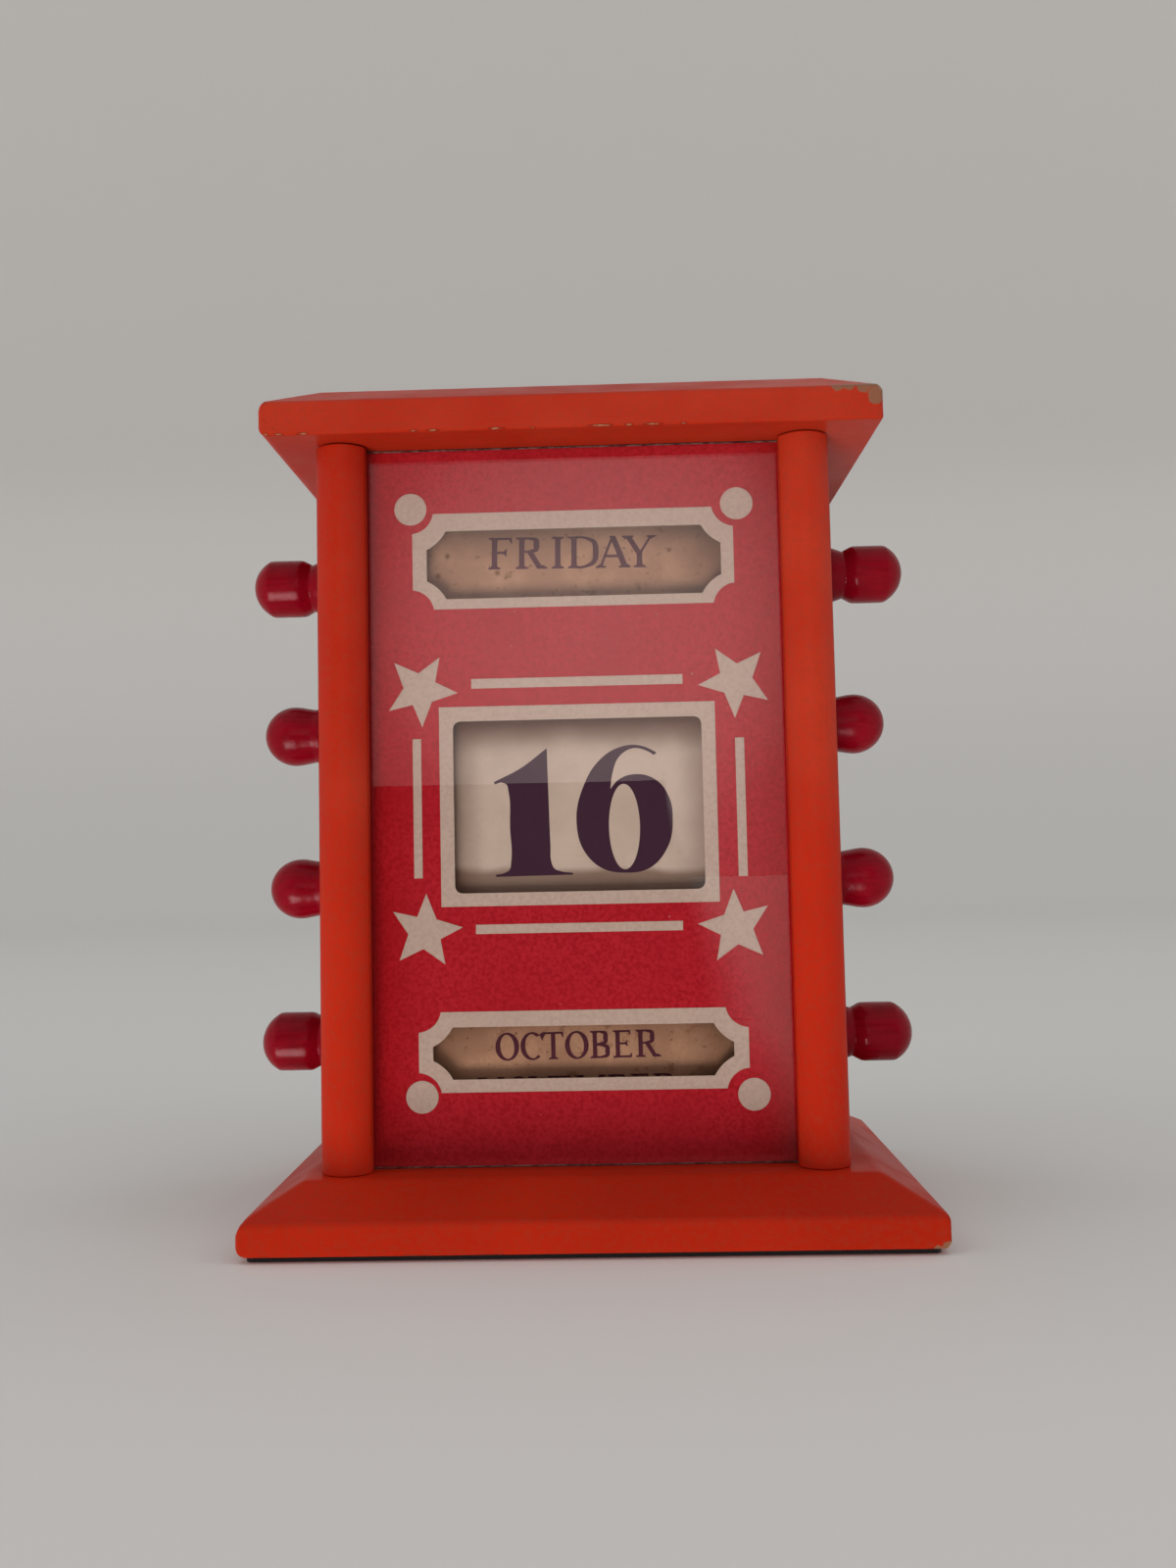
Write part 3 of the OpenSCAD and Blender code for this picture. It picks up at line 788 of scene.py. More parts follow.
def turned_mesh(profile, socket_l):
    """Solid of revolution along +X from (distance, radius) points, with a blind socket at its start."""
    profile = [(0.0, AXLE_R)] + profile + [(socket_l, 0.0), (socket_l, AXLE_R)]
    bm = bmesh.new()
    rings = []
    for x, r in profile:
        sides = TURNED_SIDES if r else 1
        angles = [2 * math.pi * i / sides for i in range(sides)]
        rings.append([bm.verts.new((x, r * math.cos(a), r * math.sin(a))) for a in angles])
    for first, second in zip(rings, rings[1:] + rings[:1]):
        if len(first) > 1 or len(second) > 1:
            wall(bm, first, second)
    bmesh.ops.recalc_face_normals(bm, faces=bm.faces)
    return mesh_from(bm, "turned")


def arc_points(centre, radii, start, stop, steps):
    """Points on an ellipse about a centre, angles in degrees."""
    points = []
    for i in range(steps + 1):
        angle = math.radians(start + (stop - start) * i / steps)
        points.append((centre[0] + radii[0] * math.cos(angle), centre[1] + radii[1] * math.sin(angle)))
    return points


def drum_knob_profile(length, radius):
    """Collar, turned waist, barrel and domed end."""
    dome_l = 3.9
    barrel_l = 6.6
    slope_l = 2.0
    waist_r = radius - 1.05
    dome_r = (radius ** 2 + dome_l ** 2) / (2 * dome_l)
    dome_turn = math.degrees(math.asin(radius / dome_r)) - 2
    dome_x = length - dome_l
    barrel_x = dome_x - barrel_l
    waist_x = barrel_x - slope_l
    return [
        (0.0, radius - 0.45), (0.3, radius - 0.15), (0.8, radius - 0.1), (waist_x - 2.6, radius - 0.15),
        (waist_x - 0.25, waist_r + 0.06), (waist_x, waist_r), (waist_x + 0.25, waist_r + 0.10),
        (barrel_x - 0.25, radius - 0.16), (barrel_x + 0.2, radius - 0.04), (barrel_x + 1.0, radius),
        (dome_x - 0.5, radius), (dome_x - 0.1, radius - 0.04),
    ] + arc_points((length - dome_r, 0), (dome_r, dome_r), dome_turn, 0, 20)


def date_knob_profile(length, radius):
    """Short flare, cone and egg-shaped end."""
    egg_l = 6.1
    wide_x = length - egg_l
    waist_r = radius - 0.6
    return [
        (0.0, radius - 0.45), (0.25, radius - 0.35), (0.9, radius - 0.5), (1.6, waist_r),
        (2.0, waist_r + 0.02), (wide_x - 1.4, radius - 0.12), (wide_x - 0.5, radius - 0.02),
    ] + arc_points((wide_x, 0), (egg_l, radius), 90, 0, 24)


DRUM_SOCKET_L = 9
DATE_SOCKET_L = 7
KNOBS = (
    ("weekday_knob", "weekday", drum_knob_profile, DRUM_SOCKET_L),
    ("month_knob", "month", drum_knob_profile, DRUM_SOCKET_L),
    ("upper_date_knob", "date_upper", date_knob_profile, DATE_SOCKET_L),
    ("lower_date_knob", "date_lower", date_knob_profile, DATE_SOCKET_L),
)


def make_knobs():
    lacquer = lacquered_knob()
    for knob, body, profile, socket_l in KNOBS:
        for side in ("left", "right"):
            node = f"{knob}_{side}"
            low, high = box_mm(node)
            middle = axis_of(node)
            mesh = turned_mesh(profile(high.x - low.x, (high.z - low.z) / 2), socket_l)
            if side == "left":
                mesh.transform(MIRROR_X)
                mesh.flip_normals()
            inner_x = high.x if side == "left" else low.x
            mesh.transform(Matrix.Translation((inner_x, middle.y, middle.z)))
            add_piece(node + "_piece", smooth(mesh, crease=50), lacquer, body, [node])


# ---------- flat outlines ----------

WELD_GAP = 1e-4
CIRCLE_SIDES = 48
CORNER_CHORDS = 6
NOTCH_CHORDS = 14
STAR_TIP_R = 7.4
STAR_HOLLOW_R = 3.3


def filled(outlines, thickness):
    """Flat plate in the XZ plane with its back on y = 0; inner outlines are holes."""
    curve = bpy.data.curves.new("outline", "CURVE")
    curve.dimensions = "2D"
    curve.fill_mode = "BOTH"
    curve.extrude = thickness / 2
    for outline in outlines:
        spline = curve.splines.new("POLY")
        spline.points.add(len(outline) - 1)
        for point, (x, z) in zip(spline.points, outline):
            point.co = (x, z, 0, 1)
        spline.use_cyclic_u = True
    mesh = applied(curve)
    turn = Matrix(((1, 0, 0, 0), (0, 0, -1, -thickness / 2), (0, 1, 0, 0), (0, 0, 0, 1)))
    mesh.transform(turn)
    bm = bmesh.new()
    bm.from_mesh(mesh)
    bmesh.ops.remove_doubles(bm, verts=bm.verts, dist=WELD_GAP)
    bmesh.ops.recalc_face_normals(bm, faces=bm.faces)
    return mesh_from(bm, "plate")


def joined(meshes):
    """One mesh from several."""
    bm = bmesh.new()
    for mesh in meshes:
        bm.from_mesh(mesh)
    return mesh_from(bm, "joined")


def circle_outline(x, z, radius):
    return arc_points((x, z), (radius, radius), 0, 360, CIRCLE_SIDES)[:-1]


def rectangle_outline(x, z, w, h):
    return [(x + sx * w / 2, z + sz * h / 2) for sx, sz in ((-1, -1), (1, -1), (1, 1), (-1, 1))]


def rounded_outline(x, z, w, h, r):
    points = []
    for sx, sz, start in ((1, -1, -90), (1, 1, 0), (-1, 1, 90), (-1, -1, 180)):
        centre = (x + sx * (w / 2 - r), z + sz * (h / 2 - r))
        points += arc_points(centre, (r, r), start, start + 90, CORNER_CHORDS)
    return points


def notched_outline(x, z, w, h, r, out_x, out_z):
    """Rectangle with a concave notch of radius r at each corner, centred out past the corner."""
    reach_x = math.sqrt(r * r - out_z * out_z)
    reach_z = math.sqrt(r * r - out_x * out_x)
    to_side = math.atan2(-reach_z, -out_x)
    to_edge = math.atan2(-out_z, -reach_x)
    quarter = [to_side + (to_edge - to_side) * i / NOTCH_CHORDS for i in range(NOTCH_CHORDS + 1)]
    points = []
    for sx, sz in ((1, 1), (-1, 1), (-1, -1), (1, -1)):
        corner = [
            (x + sx * (w / 2 + out_x + r * math.cos(a)), z + sz * (h / 2 + out_z + r * math.sin(a)))
            for a in quarter
        ]
        points += corner if sx == sz else reversed(corner)
    return points


def star_outline(x, z, tips, mirror_x=1, mirror_z=1):
    """Five-pointed star from the angles of its tips; the hollows lie midway between them."""
    points = []
    for first, second in zip(tips, tips[1:] + (tips[0] + 360,)):
        for radius, angle in ((STAR_TIP_R, first), (STAR_HOLLOW_R, (first + second) / 2)):
            turn = math.radians(angle)
            points.append((x + mirror_x * radius * math.cos(turn), z + mirror_z * radius * math.sin(turn)))
    return points


# ---------- card, prints and glass ----------

PRINT_T = 0.06
FRAME_NOTCH_R = 4.7
NAME_WINDOW_W = 58
WEEKDAY_WINDOW_H = 13.6
WEEKDAY_WINDOW_DROP = 0.4
MONTH_WINDOW_H = 10
# Radius of a name window's notches, and how far past the corner their centres lie, in x and in z.
WINDOW_NOTCH = (8, 3.3, 3.65)
# Width, height and corner radius.
DATE_WINDOW = (48.6, 33.6, 1.5)
# Angles of a star's five tips, in degrees.
STAR_TIPS = (-6.0, 58.6, 132.8, 213.0, 272.4)
PANE_BACK_GAP = 0.25
PANE_FOOT_GAP = 0.25
PANE_SEAM_W = 0.2
PANE_FACE_NORMAL = 0.99


def card_prints():
    """Outlines of the cream prints: three window frames, four stars, four bars, four dots."""
    weekday_z = WEEKDAY_AXIS.z - WEEKDAY_WINDOW_DROP
    weekday = notched_outline(0, weekday_z, NAME_WINDOW_W, WEEKDAY_WINDOW_H, *WINDOW_NOTCH)
    month = notched_outline(0, MONTH_AXIS.z, NAME_WINDOW_W, MONTH_WINDOW_H, *WINDOW_NOTCH)
    date = rounded_outline(0, DATE_MID_Z, *DATE_WINDOW)
    return {
        "weekday_frame": [notched_outline(-0.15, 129.85, 63.3, 19.1, FRAME_NOTCH_R, 0.5, 0.75), weekday],
        "date_frame": [rectangle_outline(0, 81.4, 54.0, 39.0), date],
        "month_frame": [notched_outline(0.05, 33.95, 63.6, 15.4, FRAME_NOTCH_R, 0.3, 0.85), month],
        "star_upper_left": [star_outline(-30.6, 104.45, STAR_TIPS)],
        "star_upper_right": [star_outline(31.2, 104.9, STAR_TIPS, -1)],
        "star_lower_left": [star_outline(-30.25, 57.15, STAR_TIPS, 1, -1)],
        "star_lower_right": [star_outline(30.0, 56.95, STAR_TIPS, -1, -1)],
        "bar_upper": [rectangle_outline(0.15, 105.4, 41.4, 1.9)],
        "bar_lower": [rectangle_outline(-0.3, 57.45, 40.1, 1.8)],
        "bar_left": [rectangle_outline(-31.4, 81.15, 1.65, 27.2)],
        "bar_right": [rectangle_outline(31.65, 80.2, 1.75, 26.9)],
        "dot_upper_left": [circle_outline(-32.1, 140.4, 3.18)],
        "dot_upper_right": [circle_outline(32.3, 139.95, 3.2)],
        "dot_lower_left": [circle_outline(-31.2, 25.5, 3.12)],
        "dot_lower_right": [circle_outline(32.6, 25.05, 3.1)],
    }


def make_card():
    cream = printed_card("card_cream", CREAM, CREAM_DULL)
    dress("face_card", printed_card("card_red", CARD_RED, CARD_RED_DEEP, CARD_SIDE_SHADE))
    for name, outlines in card_prints().items():
        mesh = filled(outlines, PRINT_T)
        mesh.transform(Matrix.Translation((0, CARD_FRONT_Y, 0)))
        add_piece(name, mesh, cream, "housing")


def make_glass():
    """The pane, with its arrises ground off."""
    low, high = GLASS_LOW, Vector((GLASS_HIGH.x, GLASS_HIGH.y - PANE_BACK_GAP, GLASS_HIGH.z))
    outline = [(low.x, low.y), (high.x, low.y), (high.x, high.y), (low.x, high.y)]
    block = prism(outline, low.z + PANE_FOOT_GAP, high.z)
    mesh = smooth(applied(block, "BEVEL", width=PANE_SEAM_W, segments=1), crease=30)
    mesh.materials.append(clear_glass())
    mesh.materials.append(shaded_ground_glass())
    for face in mesh.polygons:
        face.material_index = int(max(abs(c) for c in face.normal) < PANE_FACE_NORMAL)
    even_normals(add_piece("glass_pane_piece", mesh, mesh.materials[0], "housing", ["glass_pane"]))


# ---------- letters, for a cap height of 1 ----------

STEM = 0.168
HAIR = 0.076
THICK = STEM * 1.12
THIN = HAIR * 1.1
SERIF_L = 0.10
SERIF_T = 0.052
BRACKET_H = 0.055
RING_LEAN = 8
RING_LEAN_SHARE = 0.6
RING_CHORDS = 56
CURVE_CHORDS = 10
LETTER_GAP = 0.10
# How much closer its neighbours stand to a letter with slanting or open sides.
TUCK = {"A": 0.13, "Y": 0.14, "V": 0.12, "W": 0.10, "T": 0.05, "D": 0.02, "O": 0.03, "C": 0.02, "I": -0.04}


def serif(x, z, width, up, left=SERIF_L, right=SERIF_L):
    """Bracketed serif under (up = 1) or on top of (up = -1) a stroke of the given width."""
    a, b = x - width / 2, x + width / 2
    points = [(a - left, 0), (b + right, 0), (b + right, SERIF_T)]
    points += [(b + right * 0.35, SERIF_T + 0.012), (b, SERIF_T + BRACKET_H)]
    points += [(a, SERIF_T + BRACKET_H), (a - left * 0.35, SERIF_T + 0.012), (a - left, SERIF_T)]
    return [(px, z + up * pz) for px, pz in points]


def stroke(x0, z0, x1, z1, width):
    """Straight stroke whose ends are level, with its width measured level."""
    return [(x0 - width / 2, z0), (x0 + width / 2, z0), (x1 + width / 2, z1), (x1 - width / 2, z1)]


def stem(x, width=STEM, z0=0.0, z1=1.0, foot=True, head=True):
    """Upright stroke with serifs."""
    shapes = [stroke(x, z0, x, z1, width)]
    if foot:
        shapes.append(serif(x, z0, width, 1))
    if head:
        shapes.append(serif(x, z1, width, -1))
    return shapes


def bar(x0, x1, z):
    """Level hairline."""
    return [(x0, z - HAIR / 2), (x1, z - HAIR / 2), (x1, z + HAIR / 2), (x0, z + HAIR / 2)]


def arm(x0, x1, z, beak_up, reach=0.17):
    """Level arm that ends in a pointed beak above (1) or below (-1) it, or both (0)."""
    shapes = [bar(x0, x1, z + beak_up * HAIR / 2)]
    for up in ((1, -1) if beak_up == 0 else (beak_up,)):
        tip_z = z + up * reach
        shapes.append([(x1 - 0.13, z), (x1, z), (x1 + 0.015, tip_z), (x1 - 0.02, tip_z)])
    return shapes


def spline_value(a, b, c, d, t):
    """Catmull-Rom value a share t of the way from b to c."""
    bend = (2 * a - 5 * b + 4 * c - d) * t * t
    return 0.5 * (2 * b + (c - a) * t + bend + (3 * b - a - 3 * c + d) * t ** 3)


def ribbon(path):
    """Curved stroke through (x, z, width) points: a spline swept by a broad pen."""
    points = [path[0]] + list(path) + [path[-1]]
    line = []
    for run in zip(points, points[1:], points[2:], points[3:]):
        for i in range(CURVE_CHORDS):
            line.append(tuple(spline_value(*values, i / CURVE_CHORDS) for values in zip(*run)))
    line.append(path[-1])
    left, right = [], []
    for i, (x, z, width) in enumerate(line):
        before, after = line[max(i - 1, 0)], line[min(i + 1, len(line) - 1)]
        dx, dz = after[0] - before[0], after[1] - before[1]
        size = math.hypot(dx, dz)
        nx, nz = -dz / size * width / 2, dx / size * width / 2
        left.append((x + nx, z + nz))
        right.append((x - nx, z - nz))
    return left + right[::-1]


def bowl(x, z, reach, half_h):
    """Right-hand half ring that springs from a stem at x: hairline at its ends, full weight at its side."""
    weight = STEM * 1.08
    top, low = z + half_h - HAIR / 2, z - half_h + HAIR / 2
    side_x = x + reach - weight / 2
    bend_x = x + reach * 0.38
    near_x = x + reach * 0.80
    near_h, near_w = half_h * 0.62, weight * 0.80
    return [ribbon([
        (x, top, HAIR), (bend_x, top, HAIR), (near_x, z + near_h, near_w), (side_x, z, weight),
        (near_x, z - near_h, near_w), (bend_x, low, HAIR), (x, low, HAIR),
    ])]


def ring(x, z, rx, rz, start, stop):
    """Slice of a ring between two angles, with its stress a little off upright."""
    outer, inner = [], []
    lean = math.radians(RING_LEAN)
    shift = math.sin(lean) * RING_LEAN_SHARE
    for i in range(RING_CHORDS + 1):
        angle = math.radians(start + (stop - start) * i / RING_CHORDS)
        c, s = math.cos(angle), math.sin(angle)
        outer.append((x + rx * c, z + rz * s))
        ix, iz = (rx - THICK) * c, (rz - HAIR) * s
        inner.append((x + ix * math.cos(lean) - iz * shift, z + ix * shift + iz))
    return outer + inner[::-1]


def full_ring(x, z, rx, rz):
    """Closed ring as two halves that overlap a little."""
    return [ring(x, z, rx, rz, -92, 92), ring(x, z, rx, rz, 88, 272)]


def round_c(x, rx):
    """Open round of C and G, with a beak at its upper end."""
    beak = ((0.60, 0.92), (0.86, 1.0), (0.90, 1.0), (0.90, 0.70), (0.83, 0.70))
    return [ring(x, 0.5, rx, 0.515, 48, 312), [(x + rx * across, z) for across, z in beak]]


def letter_shapes():
    """Width and overlapping shapes of each capital."""
    thin, thick = THIN, THICK
    s_path = [
        (0.47, 0.74, 0.02), (0.44, 0.88, 0.05), (0.29, 0.972, 0.05), (0.13, 0.86, 0.10), (0.15, 0.68, 0.14),
        (0.33, 0.52, 0.155), (0.47, 0.34, 0.14), (0.45, 0.12, 0.10), (0.26, 0.026, 0.05), (0.09, 0.10, 0.05),
        (0.05, 0.26, 0.02),
    ]
    return {
        "A": (1.0, [stroke(0.10, 0, 0.49, 1, thin), stroke(0.86, 0, 0.47, 1, thick), bar(0.22, 0.72, 0.35),
                    serif(0.10, 0, thin, 1, 0.10, 0.12), serif(0.86, 0, thick, 1, 0.10, 0.07)]),
        "B": (0.78, stem(0.17) + bowl(0.17, 0.745, 0.50, 0.255) + bowl(0.17, 0.26, 0.57, 0.26)),
        "C": (0.81, round_c(0.46, 0.46)),
        "D": (0.93, stem(0.17) + bowl(0.17, 0.5, 0.76, 0.5)),
        "E": (0.78, stem(0.17) + arm(0.17, 0.66, 1, -1) + arm(0.17, 0.54, 0.52, 0, 0.10)
              + arm(0.17, 0.70, 0, 1)),
        "F": (0.74, stem(0.17) + arm(0.17, 0.70, 1, -1, 0.20) + arm(0.17, 0.54, 0.50, 0, 0.11)),
        "G": (0.90, round_c(0.46, 0.46) + [
            stroke(0.78, 0.06, 0.78, 0.42, STEM), serif(0.78, 0.45, STEM, -1)]),
        "H": (0.98, stem(0.17) + stem(0.81) + [bar(0.17, 0.81, 0.52)]),
        "I": (0.42, stem(0.21)),
        "J": (0.46, stem(0.27, foot=False, z0=0.05) + [ribbon([
            (0.27, 0.22, STEM), (0.26, 0.05, STEM * 0.9), (0.18, -0.08, 0.06), (0.05, -0.10, 0.07)])]),
        "L": (0.74, stem(0.17) + arm(0.17, 0.68, 0, 1, 0.20)),
        "M": (1.14, stem(0.15, thin) + stem(0.96, head=False) + [
            stroke(0.17, 1, 0.56, 0, thick), stroke(0.93, 1, 0.56, 0, thin),
            serif(0.17, 1, thick, -1, 0.12, 0.0), serif(0.96, 1, STEM, -1, 0.0, 0.10)]),
        "N": (1.0, stem(0.16, thin) + stem(0.84, thin, foot=False) + [
            stroke(0.16, 1, 0.82, 0, thick), serif(0.14, 1, thick, -1, 0.12, 0.0)]),
        "O": (0.92, full_ring(0.46, 0.5, 0.46, 0.515)),
        "P": (0.74, stem(0.17) + bowl(0.17, 0.735, 0.54, 0.265)),
        "R": (0.93, stem(0.17) + bowl(0.17, 0.745, 0.54, 0.255) + [
            stroke(0.74, 0, 0.42, 0.52, thick), serif(0.77, 0, thick, 1, 0.03, 0.09)]),
        "S": (0.56, [ribbon(s_path)]),
        "T": (0.86, stem(0.43, head=False) + [bar(0.05, 0.81, 1 - HAIR / 2)] + [
            [(x, 1), (x + s * 0.14, 1), (x + s * 0.02, 0.80), (x - s * 0.015, 0.80)]
            for x, s in ((0.04, 1), (0.82, -1))]),
        "U": (0.96, stem(0.19, foot=False, z0=0.30) + stem(0.80, thin, foot=False, z0=0.30) + [ribbon([
            (0.19, 0.42, STEM), (0.19, 0.28, STEM), (0.26, 0.10, 0.11), (0.46, 0.018, 0.06),
            (0.67, 0.08, 0.05), (0.80, 0.28, thin), (0.80, 0.42, thin)])]),
        "V": (0.96, [stroke(0.12, 1, 0.50, 0, thick), stroke(0.84, 1, 0.50, 0, thin),
                     serif(0.12, 1, thick, -1, 0.07, 0.09), serif(0.84, 1, thin, -1)]),
        "W": (1.38, [stroke(0.12, 1, 0.44, 0, thick), stroke(0.71, 1, 0.44, 0, thin),
                     stroke(0.71, 1, 1.00, 0, thick), stroke(1.27, 1, 1.00, 0, thin),
                     serif(0.12, 1, thick, -1, 0.07, 0.09), serif(0.71, 1, thick, -1, 0.09, 0.06),
                     serif(1.27, 1, thin, -1)]),
        "Y": (0.92, stem(0.47, z1=0.50, head=False) + [
            stroke(0.11, 1, 0.46, 0.42, thick), stroke(0.84, 1, 0.49, 0.42, thin),
            serif(0.11, 1, thick, -1, 0.07, 0.09), serif(0.84, 1, thin, -1)]),
    }


def united(shapes, thickness):
    """One plate from overlapping shapes, united by keeping what lies within a large cube."""
    cube = bmesh.new()
    bmesh.ops.create_cube(cube, size=20)
    plates = joined([filled([shape], thickness) for shape in shapes])
    return combined(plates, mesh_from(cube, "cube"), "INTERSECT", use_self=True)


# ---------- name drums ----------

WEEKDAYS = ("FRIDAY", "SATURDAY", "SUNDAY", "MONDAY", "TUESDAY", "WEDNESDAY", "THURSDAY")
MONTHS = (
    "OCTOBER", "NOVEMBER", "DECEMBER", "JANUARY", "FEBRUARY", "MARCH",
    "APRIL", "MAY", "JUNE", "JULY", "AUGUST", "SEPTEMBER",
)
INK_T = 0.03
BAND_SIDES = 180
SLICE_H = 0.8
LETTER_SQUEEZE = 0.96
# Body, words, axis and letter height, then the shown name's middle x, its height above the axis along
# the paper, and its slant in degrees.
NAME_SETS = (
    ("weekday", WEEKDAYS, WEEKDAY_AXIS, 6.75, -0.45, 2.3, -0.6),
    ("month", MONTHS, MONTH_AXIS, 5.25, -1.15, 0.85, 0.5),
)
# Brown spots on the weekday paper: place and radius.
NAME_STAINS = (
    ((-15.3, -17.6, 127.9), 1.0), ((-27.1, -17.6, 127.6), 0.9), ((-25.2, -17.6, 131.5), 0.9),
    ((19.0, -17.6, 131.7), 0.8),
)


def letter_places(word, glyphs):
    """Left edge of each letter and the word's width, with slanting letters tucked together."""
    pen = 0
    places = []
    for letter, following in zip(word, word[1:] + " "):
        places.append(pen)
        pen += glyphs[letter][0]
        if following != " ":
            pen += LETTER_GAP - TUCK.get(letter, 0) - TUCK.get(following, 0)
    return places, pen


def word_mesh(word, glyphs, height, x, arc, slant):
    """A word as one flat mesh, centred on x, its middle at the given arc height, sliced so that it bends."""
    places, width = letter_places(word, glyphs)
    scale_x = height * LETTER_SQUEEZE
    bm = bmesh.new()
    for letter, place in zip(word, places):
        copy = glyphs[letter][1].copy()
        shift = Matrix.Translation(((place - width / 2) * scale_x, 0, -height / 2))
        copy.transform(shift @ Matrix.Diagonal((scale_x, 1, height, 1)))
        bm.from_mesh(copy)
    turn = Matrix.Rotation(math.radians(-slant), 4, "Y")
    bmesh.ops.transform(bm, matrix=Matrix.Translation((x, 0, arc)) @ turn, verts=bm.verts)
    slices = math.ceil(height / SLICE_H)
    for i in range(1, slices):
        cut = arc - height / 2 + height * i / slices
        geometry = bm.verts[:] + bm.edges[:] + bm.faces[:]
        bmesh.ops.bisect_plane(bm, geom=geometry, plane_co=(0, 0, cut), plane_no=(0, 0, 1))
    return mesh_from(bm, word)


def wrap(mesh, axis, radius):
    """Bends a flat print in the XZ plane round a drum, its z becoming arc length."""
    for vertex in mesh.vertices:
        x, y, arc = vertex.co
        angle = arc / radius
        out = radius - y
        vertex.co = (x, axis.y - out * math.cos(angle), axis.z + out * math.sin(angle))


def tube_mesh(axis, r_in, r_out, x0, x1):
    """Smooth tube along X."""
    bm = bmesh.new()
    rings = []
    for x, r in ((x0, r_in), (x0, r_out), (x1, r_out), (x1, r_in)):
        angles = [2 * math.pi * i / BAND_SIDES for i in range(BAND_SIDES)]
        rings.append([bm.verts.new((x, axis.y + r * math.cos(a), axis.z + r * math.sin(a))) for a in angles])
    for first, second in zip(rings, rings[1:] + rings[:1]):
        wall(bm, first, second)
    bmesh.ops.recalc_face_normals(bm, faces=bm.faces)
    return smooth(mesh_from(bm, "tube"))


def names_mesh(words, glyphs, axis, radius, height, x, lift, slant):
    """The words round their drum: the first in the window, the next ones below it, the last ones above."""
    pitch = 2 * math.pi * radius / len(words)
    meshes = []
    for i, word in enumerate(words):
        around = (i + len(words) // 2) % len(words) - len(words) // 2
        mesh = word_mesh(word, glyphs, height, x, lift - around * pitch, slant)
        wrap(mesh, axis, radius)
        meshes.append(mesh)
    return joined(meshes)


def make_names():
    glyphs = {
        letter: (width, united(shapes, INK_T)) for letter, (width, shapes) in letter_shapes().items()
    }
    paper = aged_paper(
        "name_paper", NAME_PAPER, NAME_PAPER_DULL, spots=1.0, painted_shade=band_end_shade, stains=NAME_STAINS)
    ink = printing_ink("name_ink", NAME_INK, 0.45)
    for body, words, axis, *lettering in NAME_SETS:
        band = f"{body}_band"
        low, high = box_mm(band)
        radius = (high.z - low.z) / 2
        core_low, core_high = box_mm(f"{body}_drum")
        mesh = tube_mesh(axis, (core_high.z - core_low.z) / 2, radius, low.x, high.x)
        add_piece(band + "_piece", mesh, paper, body, [band])
        names = names_mesh(words, glyphs, axis, radius, *lettering)
        add_piece(f"{body}_names", names, ink, body)


# ---------- date paper ----------

CORNER = True
ROUND = False
# How far the curve's handles reach, as a share of the gap to the next point.
SHOULDER = 0.36
DIGIT_CHORDS = 8
# Points (x, z, CORNER or ROUND) round each digit.
ONE = (
    (-16.7, 86.1, CORNER), (-11.4, 88.7, ROUND), (-6.1, 92.6, CORNER), (-5.9, 82.1, ROUND),
    (-5.7, 73.2, ROUND), (-5.6, 70.3, ROUND), (-5.0, 68.9, ROUND), (-3.6, 68.3, ROUND),
    (-1.4, 68.0, CORNER), (-1.4, 67.65, CORNER), (-16.5, 67.5, CORNER), (-16.5, 67.9, CORNER),
    (-14.9, 68.2, ROUND), (-13.8, 68.9, ROUND), (-13.5, 70.3, ROUND), (-13.6, 77.0, ROUND),
    (-13.8, 84.3, ROUND), (-14.1, 85.5, ROUND), (-15.0, 86.0, ROUND), (-16.4, 85.7, CORNER),
)
SIX = (
    (15.5, 91.3, CORNER), (13.1, 92.5, ROUND), (10.7, 92.9, ROUND), (8.3, 92.5, ROUND),
    (3.3, 89.0, ROUND), (1.2, 85.4, ROUND), (-0.5, 77.9, ROUND), (0.9, 72.2, ROUND), (4.5, 68.7, ROUND),
    (8.9, 67.8, ROUND), (13.4, 68.5, ROUND), (17.1, 72.3, ROUND), (18.4, 78.3, ROUND),
    (17.8, 82.4, ROUND), (15.0, 86.1, ROUND), (11.4, 87.1, ROUND), (7.7, 85.9, ROUND),
    (6.3, 84.3, CORNER), (6.7, 87.1, ROUND), (8.4, 90.9, ROUND), (10.7, 92.2, ROUND),
    (13.7, 91.6, ROUND), (15.0, 90.8, CORNER),
)
SIX_HOLE_PLACE = (8.9, 76.85)
SIX_HOLE_RADII = (3.05, 8.4)


def curved_outline(points):
    """Outline through points: a smooth curve at round ones, a corner at the others."""
    count = len(points)
    places = [Vector((x, z)) for x, z, _ in points]
    handles = []
    for i, (_, _, is_corner) in enumerate(points):
        before, here, after = places[i - 1], places[i], places[(i + 1) % count]
        if is_corner:
            handles.append((here + (before - here) / 3, here + (after - here) / 3))
            continue
        a, b = (here - before).length, (after - here).length
        direction = ((here - before) / a * b + (after - here) / b * a).normalized()
        handles.append((here - direction * a * SHOULDER, here + direction * b * SHOULDER))
    outline = []
    for i in range(count):
        p0, p3 = places[i], places[(i + 1) % count]
        p1, p2 = handles[i][1], handles[(i + 1) % count][0]
        for step in range(DIGIT_CHORDS):
            t = step / DIGIT_CHORDS
            u = 1 - t
            outline.append(tuple(u ** 3 * p0 + 3 * u * u * t * p1 + 3 * u * t * t * p2 + t ** 3 * p3))
    return outline


